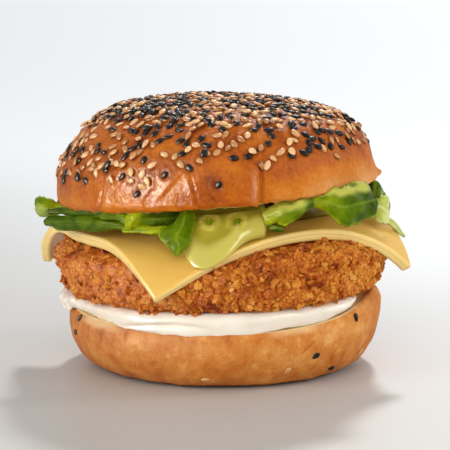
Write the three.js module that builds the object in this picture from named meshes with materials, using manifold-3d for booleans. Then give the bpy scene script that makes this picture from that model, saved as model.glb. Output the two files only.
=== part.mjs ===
// A breaded salmon burger on a seeded bun, standing as it is served.
//
// Millimetres, +Z up. The origin is the middle of the bun bottom's flat underside, and the
// eater's side is -Y. From the bottom up: bun bottom, white sauce, breaded patty, a square slice
// of cheese with its corners hanging, a yellow sauce with salad leaves round it, and the bun top.
//
// Every layer rises a little towards +X, so each cut or face is a plane with its own slope, and a
// layer is the space between two such planes. Angles round the burger are azimuths in degrees,
// counted from the eater's side: 0 is -Y, 90 is +X, 180 is +Y and -90 is -X.
import * as THREE from "three";
import { mergeVertices } from "three/addons/utils/BufferGeometryUtils.js";
import Module from "manifold-3d";

const wasm = await Module();
wasm.setup();

// ---- driving dimensions ------------------------------------------------------------------

const gap = 0.3; // left between pieces that touch
const roundSteps = 44; // facets round a bun or the patty
const sauceSteps = 40; // and round a sauce

const bunBottom = {
  middle: { x: 0.7, y: 0 },
  footRadius: 38, // the flat that it stands on
  radius: 52,
  rimRadius: 50.6,
  widestShare: 0.78, // how far up the side it is widest
  cut: { height: 20.6, slopeX: 0, slopeY: 0.03 },
  curl: { azimuth: 92, reach: 6.4, spread: 42, from: 0.88 }, // the rim turned up at one side
};

const patty = {
  middle: { x: 1.5, y: 0 },
  radius: 55,
  under: { height: 24.6, slopeX: 0.022, slopeY: 0.012 },
  upper: { height: 44.4, slopeX: 0.058, slopeY: 0 },
  upperRoundness: 3.5, // superellipse powers: 2 is round, more is boxier
  lowerRoundness: 5,
};

const cheese = {
  side: 99.2,
  thickness: 3.5,
  middle: { x: -0.2, y: 4.2 },
  turn: -17.8, // azimuth of the corner that hangs at the front
  // How far out each corner starts to bend down, how tightly it bends, and how many degrees its
  // bend is turned from square to the corner.
  bends: {
    front: { from: 34.5, radius: 29, lean: 10 },
    right: { from: 36.2, radius: 29, lean: 0 },
    back: { from: 38, radius: 30, lean: -5 },
    left: { from: 50, radius: 14.5, lean: 0 },
  },
  buckle: { x: -49, y: 3, rise: 2.3, spread: 11 }, // where it stands up before the left corner
  steps: 15,
};

const bunTop = {
  middle: { x: -1.2, y: 0 },
  radius: 53.2,
  rimRadius: 52.2,
  topHeight: 88.6,
  widest: { height: 60.5, slopeX: 0.06, slopeY: 0 },
  cut: { height: 58, slopeX: 0.0873, slopeY: -0.0135 },
  roundness: 2.6,
};

const yellowSauce = {
  coreRadius: 37, // under the middle of the bun top, which rests on it
  slope: 14, // how far outside the core it thins to its edge
  pool: { azimuth: 2.5, reach: 10, spread: 20, power: 5 }, // comes out at the front
  drip: { azimuth: -6, reach: 8.4, spread: 12 }, // the tongue that runs down the cheese
  hollow: { azimuth: 41, reach: -17, spread: 17, power: 4 }, // the gap behind the right-hand leaves
  edgeThickness: 3.4,
};

const whiteSauce = {
  radius: 48.6,
  bulge: { azimuth: -66, reach: 6, spread: 62 }, // pressed out to the front and left
  bare: { azimuth: 104, reach: -4.5, spread: 42 }, // stops short of the turned-up rim
  edgeRise: 0.8, // how far it comes up round the patty
};

const leafThickness = 0.8;
const leafGreen = 0x4f8a1c;
const paleLeafGreen = 0xb9c95a;

// ---- small helpers -----------------------------------------------------------------------

const toRadians = THREE.MathUtils.degToRad;

const planeHeight = (plane, x, y) => plane.height + plane.slopeX * x + plane.slopeY * y;

const azimuthOf = (x, y) => Math.atan2(x, -y);

// The shortest way round between two angles, in radians.
function angleBetween(a, b) {
  return Math.atan2(Math.sin(a - b), Math.cos(a - b));
}

// 1 at the hump's azimuth, falling to 0 over its spread. A higher power is flatter on top.
function hump(angle, { azimuth, spread, power = 2 }) {
  const away = Math.abs(angleBetween(angle, toRadians(azimuth))) / toRadians(spread);
  return Math.exp(-Math.pow(away, power));
}

// A closed wavy line round the burger: a few sines that never repeat in step.
function waver(angle, phase) {
  return (
    0.5 * Math.sin(2 * angle + phase) +
    0.3 * Math.sin(3 * angle + 2.3 * phase) +
    0.2 * Math.sin(7 * angle + 1.7 * phase)
  );
}

// Points of a superellipse's quarter from its waist (1, 0) to its pole (0, 1), both left out.
function quarter(power, steps) {
  return Array.from({ length: steps - 1 }, (_, i) => {
    const a = ((i + 1) / steps) * (Math.PI / 2);
    return [Math.pow(Math.cos(a), 2 / power), Math.pow(Math.sin(a), 2 / power)];
  });
}

// A LatheGeometry of (radius share, height code) pairs, turned to +Z up, whose vertices place()
// then moves. The height code only tells place() which face a vertex belongs to.
function turned(outline, steps, place) {
  const points = outline.map(([r, h]) => new THREE.Vector2(r, h));
  const geometry = new THREE.LatheGeometry(points, steps).rotateX(Math.PI / 2);
  return moved(geometry, (p) => {
    const share = Math.hypot(p.x, p.y);
    const angle = share > 1e-6 ? azimuthOf(p.x, p.y) : 0;
    return place(share, angle, p.z);
  });
}

// Moves every vertex of a geometry to what place() gives for it.
function moved(geometry, place) {
  const position = geometry.getAttribute("position");
  const p = new THREE.Vector3();
  for (let i = 0; i < position.count; i++) {
    p.fromBufferAttribute(position, i);
    const to = place(p);
    position.setXYZ(i, to.x, to.y, to.z);
  }
  geometry.computeVertexNormals();
  return geometry;
}

// The point at a distance and azimuth from a piece's middle.
function around(middle, radius, angle) {
  return { x: middle.x + radius * Math.sin(angle), y: middle.y - radius * Math.cos(angle) };
}

function asSolid(geometry) {
  const bare = geometry.toNonIndexed();
  bare.deleteAttribute("normal");
  bare.deleteAttribute("uv");
  const merged = mergeVertices(bare, 1e-3);
  return new wasm.Manifold(
    new wasm.Mesh({
      numProp: 3,
      vertProperties: merged.getAttribute("position").array,
      triVerts: new Uint32Array(merged.index.array),
    }),
  );
}

function fromSolid(solid) {
  const { vertProperties, triVerts } = solid.getMesh();
  const geometry = new THREE.BufferGeometry();
  geometry.setAttribute("position", new THREE.BufferAttribute(vertProperties, 3));
  geometry.setIndex(new THREE.BufferAttribute(triVerts, 1));
  geometry.computeVertexNormals();
  return geometry;
}

// ---- bun bottom --------------------------------------------------------------------------

// Height of the bun bottom's cut face, with its turned-up rim.
function bunCut(x, y) {
  const { middle, radius, cut, curl } = bunBottom;
  const [dx, dy] = [x - middle.x, y - middle.y];
  const towardsRim = THREE.MathUtils.smoothstep(Math.hypot(dx, dy) / radius, curl.from, 1);
  return planeHeight(cut, x, y) + curl.reach * hump(azimuthOf(dx, dy), curl) * towardsRim;
}

// A shallow bowl of bread: flat foot, round side, and a sloping cut face on top.
function bunBottomGeometry() {
  const { middle, footRadius, radius, rimRadius, widestShare, curl } = bunBottom;
  const flat = footRadius / radius;
  const side = quarter(2, 6).map(([down, out]) => [flat + (1 - flat) * out, 2 - down]);
  const foot = [0, 0.5, 1].map((share) => [share * flat, 0]);
  const top = [
    [1, 2],
    [0.998, 2.5],
    [rimRadius / radius, 2.9],
    [rimRadius / radius - 0.02, 3],
    [curl.from, 3],
    [0.6, 3],
    [0, 3],
  ];
  return turned([...foot, ...side, ...top], roundSteps, (share, angle, code) => {
    const wave = code > 0 ? 0.55 * waver(angle, 1.1) : 0;
    const { x, y } = around(middle, share * (radius + wave), angle);
    const rimHeight = bunCut(x, y);
    const widest = widestShare * rimHeight;
    if (code <= 1) return { x, y, z: 0 };
    if (code <= 2) return { x, y, z: (code - 1) * widest };
    return { x, y, z: widest + (code - 2) * (rimHeight - widest) };
  });
}

// ---- patty -------------------------------------------------------------------------------

function pattyMiddleAndHalf(x, y) {
  const low = planeHeight(patty.under, x, y);
  const high = planeHeight(patty.upper, x, y);
  return { mid: (low + high) / 2, half: (high - low) / 2 };
}

// A thick breaded disc, boxier below than above, with a lumpy side. extra grows it all round.
function pattyGeometry(extra = 0) {
  const lower = quarter(patty.lowerRoundness, 6).map(([r, h]) => [r, -h]);
  const upper = quarter(patty.upperRoundness, 6);
  const outline = [[0, -1], ...lower.reverse(), [1, 0], ...upper, [0, 1]];
  return turned(outline, roundSteps, (share, angle, height) => {
    const side = 1 - Math.abs(height); // lumps fade out towards the flat faces
    const lumps = 0.9 * waver(angle, 2.6) + 0.5 * Math.sin(11 * angle + 4 * height) * side;
    const { x, y } = around(patty.middle, share * (patty.radius + lumps + extra), angle);
    const { mid, half } = pattyMiddleAndHalf(x, y);
    return { x, y, z: mid + height * (half + extra) };
  });
}

// ---- cheese ------------------------------------------------------------------------------

const corners = ["front", "right", "back", "left"].map((name, i) => {
  const { from, radius, lean } = cheese.bends[name];
  const azimuth = toRadians(cheese.turn + 90 * i + lean);
  return { towards: new THREE.Vector2(Math.sin(azimuth), -Math.cos(azimuth)), from, radius };
});

// The underside of the slice before its corners hang.
function cheeseUnder(x, y) {
  const { buckle } = cheese;
  const away = Math.hypot(x - buckle.x, y - buckle.y) / buckle.spread;
  return planeHeight(patty.upper, x, y) + gap + buckle.rise * Math.exp(-away * away);
}

// Where a point of the flat slice goes once its corners hang. up is from 0 at the underside to
// the slice's thickness. Past its bend a corner rolls down on an arc.
function hung(x, y, up) {
  const flat = new THREE.Vector2(x, y);
  let drop = -up;
  for (const { towards, from, radius } of corners) {
    const past = flat.dot(towards) - from;
    if (past <= 0) continue;
    const turn = past / radius;
    const level = radius - cheese.thickness / 2 + up;
    flat.addScaledVector(towards, level * Math.sin(turn) - past);
    drop += level * (1 - Math.cos(turn));
  }
  return { x: flat.x, y: flat.y, z: cheeseUnder(flat.x, flat.y) - drop };
}

// Height of the slice's top face above a point, for what lies on it.
function cheeseTop(x, y) {
  let drop = 0;
  for (const { towards, from, radius } of corners) {
    const past = x * towards.x + y * towards.y - from;
    const level = radius + cheese.thickness / 2;
    if (past > 0) drop += level - Math.sqrt(Math.max(0, level ** 2 - past ** 2));
  }
  return cheeseUnder(x, y) + cheese.thickness - drop;
}

// A square slice laid corner to the front. extra grows it on every side.
function cheeseGeometry(extra = 0) {
  const { side, thickness, middle, turn, steps } = cheese;
  const width = side + 2 * extra;
  const slab = new THREE.BoxGeometry(width, width, thickness + 2 * extra, steps, steps, 1);
  slab.rotateZ(toRadians(turn + 45)).translate(middle.x, middle.y, 0);
  return moved(slab, (p) => hung(p.x, p.y, p.z + thickness / 2));
}

// The patty is pressed in where the slice bears on it.
function pattyUnderCheese() {
  return fromSolid(asSolid(pattyGeometry()).subtract(asSolid(cheeseGeometry(gap))));
}

// ---- sauces ------------------------------------------------------------------------------

// A disc with a rounded edge: height code -1 is its underside and 1 its top. lowest is how far
// down the side the edge is widest, from -1 to 0.
function layerOutline(edgeShare, lowest) {
  const inner = 1 - edgeShare;
  const below = [[0, -1], [0.5, -1], [0.8, -1], [1 + edgeShare * lowest, -1]];
  const edge = [0, 22, 45, 68, 90].map((degrees) => {
    const a = toRadians(degrees);
    return [inner + edgeShare * Math.cos(a), lowest + (1 - lowest) * Math.sin(a)];
  });
  return [...below, ...edge, [0.8, 1], [0.5, 1], [0, 1]];
}

// The white sauce fills the wedge between the bun bottom's cut and the patty.
function whiteSauceGeometry() {
  const { radius, bulge, bare, edgeRise } = whiteSauce;
  const filled = turned(layerOutline(0.06, -0.2), sauceSteps, (share, angle, height) => {
    const pressed = bulge.reach * hump(angle, bulge) + bare.reach * hump(angle, bare);
    const reach = radius + pressed + 0.7 * waver(angle, 0.6);
    const { x, y } = around({ x: 0, y: 0 }, share * reach, angle);
    const low = bunCut(x, y) + 2 * gap;
    const high = Math.max(low, planeHeight(patty.under, x, y)) + edgeRise;
    return { x, y, z: low + ((height + 1) / 2) * (high - low) };
  });
  return fromSolid(asSolid(filled).subtract(asSolid(pattyGeometry(gap))));
}

// How far the yellow sauce reaches from the middle in a direction.
function yellowReach(angle) {
  const { coreRadius, pool, drip, hollow } = yellowSauce;
  return (
    coreRadius +
    pool.reach * hump(angle, pool) +
    drip.reach * hump(angle, drip) +
    hollow.reach * hump(angle, hollow) +
    1.2 * waver(angle, 3.4)
  );
}

// The yellow sauce carries the bun top, slopes down outside it and ends in a tongue.
function yellowSauceGeometry() {
  const { coreRadius, slope, edgeThickness } = yellowSauce;
  return turned(layerOutline(0.1, -0.6), sauceSteps, (share, angle, height) => {
    const { x, y } = around({ x: 0, y: 0 }, share * yellowReach(angle), angle);
    const low = cheeseTop(x, y) + gap;
    const room = planeHeight(bunTop.cut, x, y) - gap - low;
    const out = THREE.MathUtils.smoothstep(Math.hypot(x, y), coreRadius - 4, coreRadius + slope);
    const thickness = THREE.MathUtils.lerp(room, edgeThickness, out);
    return { x, y, z: low + ((height + 1) / 2) * thickness };
  });
}

// ---- bun top -----------------------------------------------------------------------------

// A dome with a turned-in edge over a sloping cut face.
function bunTopGeometry() {
  const { middle, radius, rimRadius, topHeight, widest, cut, roundness } = bunTop;
  const under = [
    [0, 0],
    [0.6, 0],
    [rimRadius / radius - 0.02, 0],
    [rimRadius / radius, 0.15],
    [0.997, 0.6],
    [1, 1],
  ];
  const dome = quarter(roundness, 9).map(([r, h]) => [r, 1 + h]);
  return turned([...under, ...dome, [0, 2]], roundSteps, (share, angle, code) => {
    const wave = 0.6 * waver(angle, 0.3);
    const { x, y } = around(middle, share * (radius + wave), angle);
    const low = planeHeight(cut, x, y);
    const waist = planeHeight(widest, x, y);
    if (code <= 1) return { x, y, z: low + code * (waist - low) };
    const dent = 0.5 * waver(angle, 5.2) * share * (2 - code);
    return { x, y, z: waist + (code - 1) * (topHeight - waist) + dent };
  });
}

// ---- leaves ------------------------------------------------------------------------------

// Each leaf follows a spine from its stalk to its tip. across points over the blade, cup lifts
// its two halves, and ripple waves its edges.
const leaves = {
  leaf_left_end: {
    spine: [[-52.8, 2, 49.2], [-56.7, 0, 50.7], [-59.4, -2, 51.9], [-61.4, -3, 53.4]],
    across: [0.1, 0.45, 1], width: 7.6, cup: -0.35, ripple: 0.5,
  },
  leaf_left_rim: {
    spine: [[-59, -9, 49.8], [-49, -19, 50.2], [-39, -29, 50.6], [-29.5, -37, 50.9]],
    across: [0.3, 0.6, 1], width: 6.2, cup: 0.15, ripple: 0.3,
  },
  leaf_left_upper: {
    spine: [[-48, -3, 52], [-42, -14, 52.4], [-34, -22, 53], [-25, -31, 53.8]],
    across: [0.7, 0.7, 0.1], width: 5.4, cup: 0.1, ripple: 0.2,
  },
  leaf_front_flat: {
    spine: [[-40, -20.5, 47.2], [-31, -25.5, 47.6], [-22, -28, 48], [-13.5, -29, 48.4]],
    across: [0.2, 1, 0], width: 6, cup: 0.1, ripple: 0.2,
  },
  leaf_front_crumpled: {
    spine: [[-26.5, -38.5, 50.6], [-23, -39.5, 52], [-19.6, -39, 51.2], [-16.6, -36.6, 52]],
    across: [-0.2, 0.5, 1], width: 5.4, cup: 0.3, ripple: 0.4,
  },
  leaf_front_hanging: {
    spine: [[-12, -37.5, 56], [-13.2, -43.5, 54.4], [-14, -49, 50.4], [-12.6, -52.6, 45]],
    across: [1, 0.1, 0.1], width: 11, cup: 0.2, ripple: 0.4,
  },
  leaf_right_curl: {
    spine: [[13.4, -39.5, 52.8], [18, -41.8, 54.4], [22.4, -42.5, 55.8], [27, -41, 57]],
    across: [-0.1, 0.85, 0.5], width: 7.4, cup: 0.3, ripple: 0.3,
  },
  leaf_right_low: {
    spine: [[14.4, -42.4, 49.9], [16.8, -44.4, 49.9], [19, -44.6, 49.9], [21, -43.4, 49.9]],
    across: [0, 0.9, 0.35], width: 3.2, cup: 0.3, ripple: 0.1,
  },
  leaf_right_round: {
    spine: [[31, -33, 55.4], [36.5, -36, 56], [43, -33.5, 57], [48.6, -27, 58]],
    across: [-0.1, 0.25, 1], width: 11, cup: -0.3, ripple: 0.3,
  },
  leaf_right_tip: {
    spine: [[45.6, -12, 57.2], [48.2, -13, 58], [50, -14, 59.8], [50.8, -14.6, 62.2]],
    across: [1, 0.4, -0.2], width: 4.6, cup: 0.2, ripple: 0.1,
  },
  leaf_right_pale: {
    spine: [[44, -6, 57.6], [50, -7, 57.2], [53.6, -7.8, 54.6], [54, -8.4, 51.2]],
    across: [0.5, -1, 0.2], width: 6, cup: 0.25, ripple: 0.5,
    color: paleLeafGreen,
  },
  leaf_right_rib: {
    spine: [[45.5, -2.2, 54.4], [52, -2.6, 52.4], [57.2, -3.6, 48.8], [60.6, -5, 44.4]],
    across: [0.2, 1, 0.1], width: 3, cup: 0.1, ripple: 0.2,
    color: paleLeafGreen,
  },
  leaf_back_right: {
    spine: [[52.5, -3, 55], [55, 5, 56], [53.5, 14.5, 56.2], [49, 25.5, 55.5], [41, 33.5, 55]],
    across: [0, 0, 1], width: 9, cup: 0.15, ripple: 0.6,
  },
  leaf_back_middle: {
    spine: [[37, 38, 54], [32, 45, 54.2], [24, 51, 53.6], [14, 54, 53], [5, 52, 52.5]],
    across: [0, 0, 1], width: 9, cup: 0.15, ripple: 0.6,
  },
  leaf_back_left: {
    spine: [[-1, 51.5, 52], [-9, 53.4, 51.8], [-19, 51, 51.4], [-29, 46, 51], [-36.5, 38.5, 51]],
    across: [0, 0, 1], width: 8, cup: 0.15, ripple: 0.6,
  },
  leaf_back_end: {
    spine: [[-39, 36, 50.5], [-47, 30.5, 50.2], [-53, 21, 50.4], [-56, 10, 51], [-56, 2, 51]],
    across: [0, 0, 1], width: 7, cup: 0.15, ripple: 0.5,
  },
};

const leafSteps = { along: 6, over: 4 };

// Half the blade's width, as a share, along the leaf: a narrow stalk end, broad past the middle.
function bladeShape(along) {
  const swell = Math.sin(Math.PI * Math.pow(along, 0.85));
  return 0.22 + 0.78 * Math.pow(Math.max(0, swell), 0.7);
}

// A leaf as a thin closed slab bent along its spine. extra grows it on every side.
function leafGeometry({ spine, across, width, cup, ripple }, extra = 0) {
  const curve = new THREE.CatmullRomCurve3(spine.map((p) => new THREE.Vector3(...p)));
  const blade = new THREE.BoxGeometry(1, 1, 1, leafSteps.along, leafSteps.over, 1);
  const over = new THREE.Vector3(...across);
  return moved(blade, (p) => {
    const along = THREE.MathUtils.clamp(p.x + 0.5, 0, 1);
    const tangent = curve.getTangent(along);
    const sideways = over.clone().addScaledVector(tangent, -over.dot(tangent)).normalize();
    const normal = tangent.clone().cross(sideways);
    const half = (width / 2) * bladeShape(along) + extra;
    const lift = cup * half * 4 * p.y * p.y + ripple * Math.sin(9 * along + 5 * p.y) * Math.abs(2 * p.y);
    const end = Math.sign(p.x) * (Math.abs(p.x) > 0.499 ? extra : 0);
    return curve
      .getPoint(along)
      .addScaledVector(tangent, end)
      .addScaledVector(sideways, 2 * p.y * half)
      .addScaledVector(normal, lift + p.z * (leafThickness + 2 * extra));
  });
}

// The yellow sauce lies on the slice and runs round the leaves that lie in it.
function yellowSauceRoundLeaves() {
  let sauce = asSolid(yellowSauceGeometry()).subtract(asSolid(cheeseGeometry(gap)));
  for (const leaf of Object.values(leaves)) {
    sauce = sauce.subtract(asSolid(leafGeometry(leaf, gap)));
  }
  const pieces = sauce.decompose().sort((a, b) => b.volume() - a.volume());
  return fromSolid(pieces[0]);
}

// ---- the burger --------------------------------------------------------------------------

function piece(name, geometry, color, roughness) {
  const material = new THREE.MeshStandardMaterial({ color, roughness, metalness: 0 });
  const mesh = new THREE.Mesh(geometry, material);
  mesh.name = name;
  return mesh;
}

const salad = new THREE.Group();
for (const [name, leaf] of Object.entries(leaves)) {
  salad.add(piece(name, leafGeometry(leaf), leaf.color ?? leafGreen, 0.5));
}

const burger = new THREE.Group();
burger.add(
  piece("bun_bottom", bunBottomGeometry(), 0xd29a5a, 0.6),
  piece("white_sauce", whiteSauceGeometry(), 0xf3ead8, 0.3),
  piece("fish_patty", pattyUnderCheese(), 0xb86a2c, 0.7),
  piece("cheese_slice", cheeseGeometry(), 0xe0bf63, 0.4),
  piece("yellow_sauce", yellowSauceRoundLeaves(), 0xc6bd4e, 0.25),
  salad,
  piece("bun_top", bunTopGeometry(), 0xb5651f, 0.35),
);

export default burger;
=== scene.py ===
# Looks for a salmon burger on a seeded bun. The dictionaries are in millimetres and degrees unless they
# say otherwise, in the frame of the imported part: the eater sits at -Y, and azimuths run from there
# towards +X.
import math

import bmesh
import bpy
import numpy as np
from mathutils import Matrix, Vector, kdtree, noise


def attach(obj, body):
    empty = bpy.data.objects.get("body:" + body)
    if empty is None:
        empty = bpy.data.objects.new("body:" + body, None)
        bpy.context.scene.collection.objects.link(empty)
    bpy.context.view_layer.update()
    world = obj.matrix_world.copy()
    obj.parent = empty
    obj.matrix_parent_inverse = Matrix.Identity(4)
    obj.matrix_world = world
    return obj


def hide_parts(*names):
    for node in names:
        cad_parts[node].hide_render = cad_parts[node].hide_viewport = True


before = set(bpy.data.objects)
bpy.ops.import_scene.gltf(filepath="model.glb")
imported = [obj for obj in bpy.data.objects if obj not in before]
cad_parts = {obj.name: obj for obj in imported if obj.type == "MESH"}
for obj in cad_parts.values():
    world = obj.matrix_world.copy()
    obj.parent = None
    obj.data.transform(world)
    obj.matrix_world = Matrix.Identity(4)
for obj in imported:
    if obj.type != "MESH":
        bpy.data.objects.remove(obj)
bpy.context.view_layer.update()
mm = 0.001

scene = bpy.context.scene
scene.view_settings.view_transform = "Standard"


# sRGB hex to the linear colour that a shader takes
def linear(hexColour):
    parts = [int(hexColour[i:i + 2], 16) / 255 for i in (1, 3, 5)]
    return [c / 12.92 if c <= 0.04045 else ((c + 0.055) / 1.055) ** 2.4 for c in parts] + [1.0]


# adds a node with its settings; an input's value is a number, a colour, or a node or output to link from
def addNode(tree, kind, settings=None, inputs=None):
    node = tree.nodes.new(kind)
    for name, value in (settings or {}).items():
        if name == "stops":  # of a colour ramp: place and hex colour
            ramp = node.color_ramp
            while len(ramp.elements) < len(value):
                ramp.elements.new(0.5)
            for stop, (place, colour) in zip(ramp.elements, value):
                stop.position = place
                stop.color = linear(colour)
        else:
            setattr(node, name, value)
    for name, value in (inputs or {}).items():
        if isinstance(value, bpy.types.Node):
            value = value.outputs[0]
        if isinstance(value, bpy.types.NodeSocket):
            tree.links.new(value, node.inputs[name])
        else:
            node.inputs[name].default_value = value
    return node


# starts a material: its node tree, the object's coordinates and the attributes that it reads
def newMaterial(name, *marks):
    material = bpy.data.materials.new(name)
    material.use_nodes = True
    tree = material.node_tree
    tree.nodes.clear()
    place = addNode(tree, "ShaderNodeTexCoord").outputs["Object"]
    read = [addNode(tree, "ShaderNodeAttribute", {"attribute_name": mark}).outputs["Fac"] for mark in marks]
    return [material, tree, place, *read]


# a value taken through math nodes in turn: each step is an operation and what it takes besides the value
def through(tree, value, *steps):
    for operation, *others in steps:
        value = addNode(tree, "ShaderNodeMath", {"operation": operation}, dict(enumerate([value, *others])))
    return value


# a value with clouds of noise about 0 added: the scale of each per metre, its detail and its strength
def mottled(tree, place, value, *clouds):
    value = through(tree, value, ("SUBTRACT", sum(strength for *_, strength in clouds) / 2))
    for scale, detail, strength in clouds:
        cloud = addNode(tree, "ShaderNodeTexNoise", {}, {"Vector": place, "Scale": scale, "Detail": detail})
        value = through(tree, cloud.outputs["Fac"], ("MULTIPLY_ADD", strength, value))
    value.use_clamp = True
    return value


# colours laid over one another, each as far as its mark says
def laidOver(tree, colour, *layers):
    for mark, over in layers:
        over = linear(over) if isinstance(over, str) else over
        mix = addNode(tree, "ShaderNodeMix", {"data_type": "RGBA"}, {"Factor": mark, 6: colour, 7: over})
        colour = mix.outputs[2]
    return colour


# ends a material: fine bumps of a scale per metre, detail, strength and height in mm, and the shader
def finishSkin(tree, place, bumps, inputs):
    if bumps:
        scale, detail, strength, height = bumps
        skin = addNode(tree, "ShaderNodeTexNoise", {}, {"Vector": place, "Scale": scale, "Detail": detail})
        bump = {"Height": skin.outputs["Fac"], "Strength": strength, "Distance": height * mm}
        inputs = {**inputs, "Normal": addNode(tree, "ShaderNodeBump", {}, bump)}
    shader = addNode(tree, "ShaderNodeBsdfPrincipled", {}, inputs)
    addNode(tree, "ShaderNodeOutputMaterial", {}, {"Surface": shader})


# smooth noise at points in mm, about -1 to 1, whose bumps are the given size across
def relief(points, size, seed=0):
    shift = Vector((seed * 13.7, seed * 7.1, seed * 3.3))
    flat = np.asarray(points).reshape(-1, 3) / size
    return np.array([noise.noise(Vector(p) + shift) for p in flat]).reshape(np.shape(points)[:-1])


# lumps of about the given size in mm, packed like crumbs: how far a point is inside its own lump, from 0
# at the cracks to 1, and a random value for each lump
def lumps(points, size, seed):
    scaled = points / size
    corner = np.floor(scaled)
    nearest, second = np.full(len(points), 9.0), np.full(len(points), 9.0)
    draw = np.zeros(len(points))
    steps = (-1, 0, 1)
    for step in [(i, j, k) for i in steps for j in steps for k in steps]:
        cell = corner + step  # each cell has its own four draws: where its lump's middle is, and its value
        rough = [np.sin(cell @ [127.1 + n, 311.7 - n, 74.7 + 3 * n] + seed) * 43758.5453 for n in range(4)]
        rough = [r - np.floor(r) for r in rough]
        away = np.linalg.norm(cell + np.stack(rough[:3], axis=-1) - scaled, axis=-1)
        closer = away < nearest
        second = np.where(closer, nearest, np.minimum(second, away))
        draw = np.where(closer, rough[3], draw)
        nearest = np.where(closer, away, nearest)
    return smoothStep(0, 0.45, second - nearest), draw


def smoothStep(low, high, x):
    t = np.clip((x - low) / (high - low), 0, 1)
    return t * t * (3 - 2 * t)


def planeHeight(plane, x, y):
    return plane[0] + plane[1] * x + plane[2] * y


# the signed turn from an azimuth in degrees to an angle, in radians
def turnFrom(angle, azimuth):
    turn = angle - math.radians(azimuth)
    return np.arctan2(np.sin(turn), np.cos(turn))


# 1 at an azimuth, falling to 0 over the spread; a higher power is flatter on top
def hump(angle, azimuth, spread, power=2):
    return np.exp(-np.abs(turnFrom(angle, azimuth) / math.radians(spread)) ** power)


# humps added up: each an azimuth, a spread and a height
def humps(angle, parts, power=2):
    return sum(height * hump(angle, azimuth, spread, power) for azimuth, spread, height in parts)


# x and y at an angle and a reach, seen from above
def spotAt(angle, reach, middleX=0):
    return middleX + reach * np.sin(angle), -reach * np.cos(angle)


# how far points are, seen from above, from the one at an azimuth and a reach
def awayFrom(x, y, azimuth, reach):
    middleX, middleY = spotAt(math.radians(azimuth), reach)
    return np.hypot(x - middleX, y - middleY)


# a closed wavy line round the burger, of sines that never repeat in step
def waver(angle, phase):
    return (0.5 * np.sin(2 * angle + phase) + 0.3 * np.sin(3 * angle + 2.3 * phase)
            + 0.2 * np.sin(7 * angle + 1.7 * phase))


def setAttribute(mesh, name, values, domain="POINT"):
    layer = mesh.attributes.new(name, "FLOAT", domain)
    layer.data.foreach_set("value", np.asarray(values, dtype=np.float32).ravel())


def addPiece(name, mesh, material):
    piece = bpy.data.objects.new(name, mesh)
    scene.collection.objects.link(piece)
    mesh.materials.clear()
    mesh.materials.append(material)
    return piece


# faces of a closed round mesh: a point at the start, then the rings, then a point at the end
def ringFaces(count, steps):
    last = count * steps + 1
    faces = []
    for j in range(steps):
        k = (j + 1) % steps
        faces.append((0, 1 + k, 1 + j))
        faces.append((last, last - steps + j, last - steps + k))
        for i in range(count - 1):
            low, high = 1 + i * steps, 1 + (i + 1) * steps
            faces.append((low + j, low + k, high + k, high + j))
    return faces


# a smooth closed mesh from rings of points in mm, lowest first
def ringMesh(name, rings):
    count, steps = rings.shape[:2]
    points = np.vstack([rings[0].mean(0), rings.reshape(-1, 3), rings[-1].mean(0)])
    faces = ringFaces(count, steps)
    mesh = bpy.data.meshes.new(name)
    mesh.from_pydata((points * mm).tolist(), [], faces)
    mesh.polygons.foreach_set("use_smooth", [True] * len(faces))
    mesh.update()
    return mesh


# a value for every point of a ring mesh, from a grid of rings and the values at its two ends
def onPoints(grid, first=0, last=0):
    return np.concatenate([[first], grid.ravel(), [last]])


def meshPoints(mesh):
    points = np.empty(len(mesh.vertices) * 3)
    mesh.vertices.foreach_get("co", points)
    return points.reshape(-1, 3) / mm


def meshNormals(mesh):
    normals = np.empty(len(mesh.vertices) * 3)
    mesh.vertices.foreach_get("normal", normals)
    return normals.reshape(-1, 3)


def movePoints(mesh, points):
    mesh.vertices.foreach_set("co", (points * mm).astype(np.float32).ravel())
    mesh.update()


# points at even steps along a profile of shares and heights, given the mm that one of each stands for
def evenly(profile, across, up, count):
    profile = np.array(profile)
    step = np.hypot(np.diff(profile[:, 0]) * across, np.diff(profile[:, 1]) * up)
    length = np.concatenate([[0], np.cumsum(step)])
    places = np.linspace(0, length[-1], count)
    return list(zip(np.interp(places, length, profile[:, 0]), np.interp(places, length, profile[:, 1])))


# for each ring of the profile and each step round: share, height code and azimuth grids, with the steps
# finer towards the eater
def roundGrid(profile, steps):
    profile = np.array(profile)
    turn = np.linspace(0, 2 * math.pi, steps, endpoint=False)
    angle = turn - 0.38 * np.sin(turn)
    share = np.repeat(profile[:, :1], steps, axis=1)
    code = np.repeat(profile[:, 1:2], steps, axis=1)
    return share, code, np.repeat(angle[None], len(profile), axis=0)


def arc(count):
    return np.radians(np.linspace(0, 90, count))


# Materials

# baked bread crust brushed with egg: a deep orange brown, darker in a ring round each seed (partly browned
# wash, partly a painted shade in the hollow), glossy where the wash lay thick ("wash") and floury, pale and
# matt where it missed
def eggWashedCrust():
    marks = ("bake", "dip", "cut", "wash")
    material, tree, place, bake, dip, cut, wash = newMaterial("egg washed crust", *marks)
    depth = mottled(tree, place, bake, (110, 4, 0.7), (800, 3, 0.36))  # 9 mm patches, 1.2 mm grain
    brown = addNode(tree, "ShaderNodeValToRGB", {"stops": [
        (0.0, "#DCAC7C"), (0.3, "#CE8C4A"), (0.6, "#BE6A0A"), (0.8, "#A44E00"), (1.0, "#6C2A00")]},
        {"Fac": depth})
    # painted shade, with some browned wash, in the ring round each seed
    colour = laidOver(tree, brown, (dip, "#6E2E08"), (cut, "#E9CD94"))
    rough = addNode(tree, "ShaderNodeMapRange", {}, {"Value": wash, "To Min": 0.6, "To Max": 0.27})
    finishSkin(tree, place, (650, 6, 0.5, 0.6), {
        "Base Color": colour, "Roughness": rough, "IOR": 1.45, "Specular IOR Level": 0.24})
    return material


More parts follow.
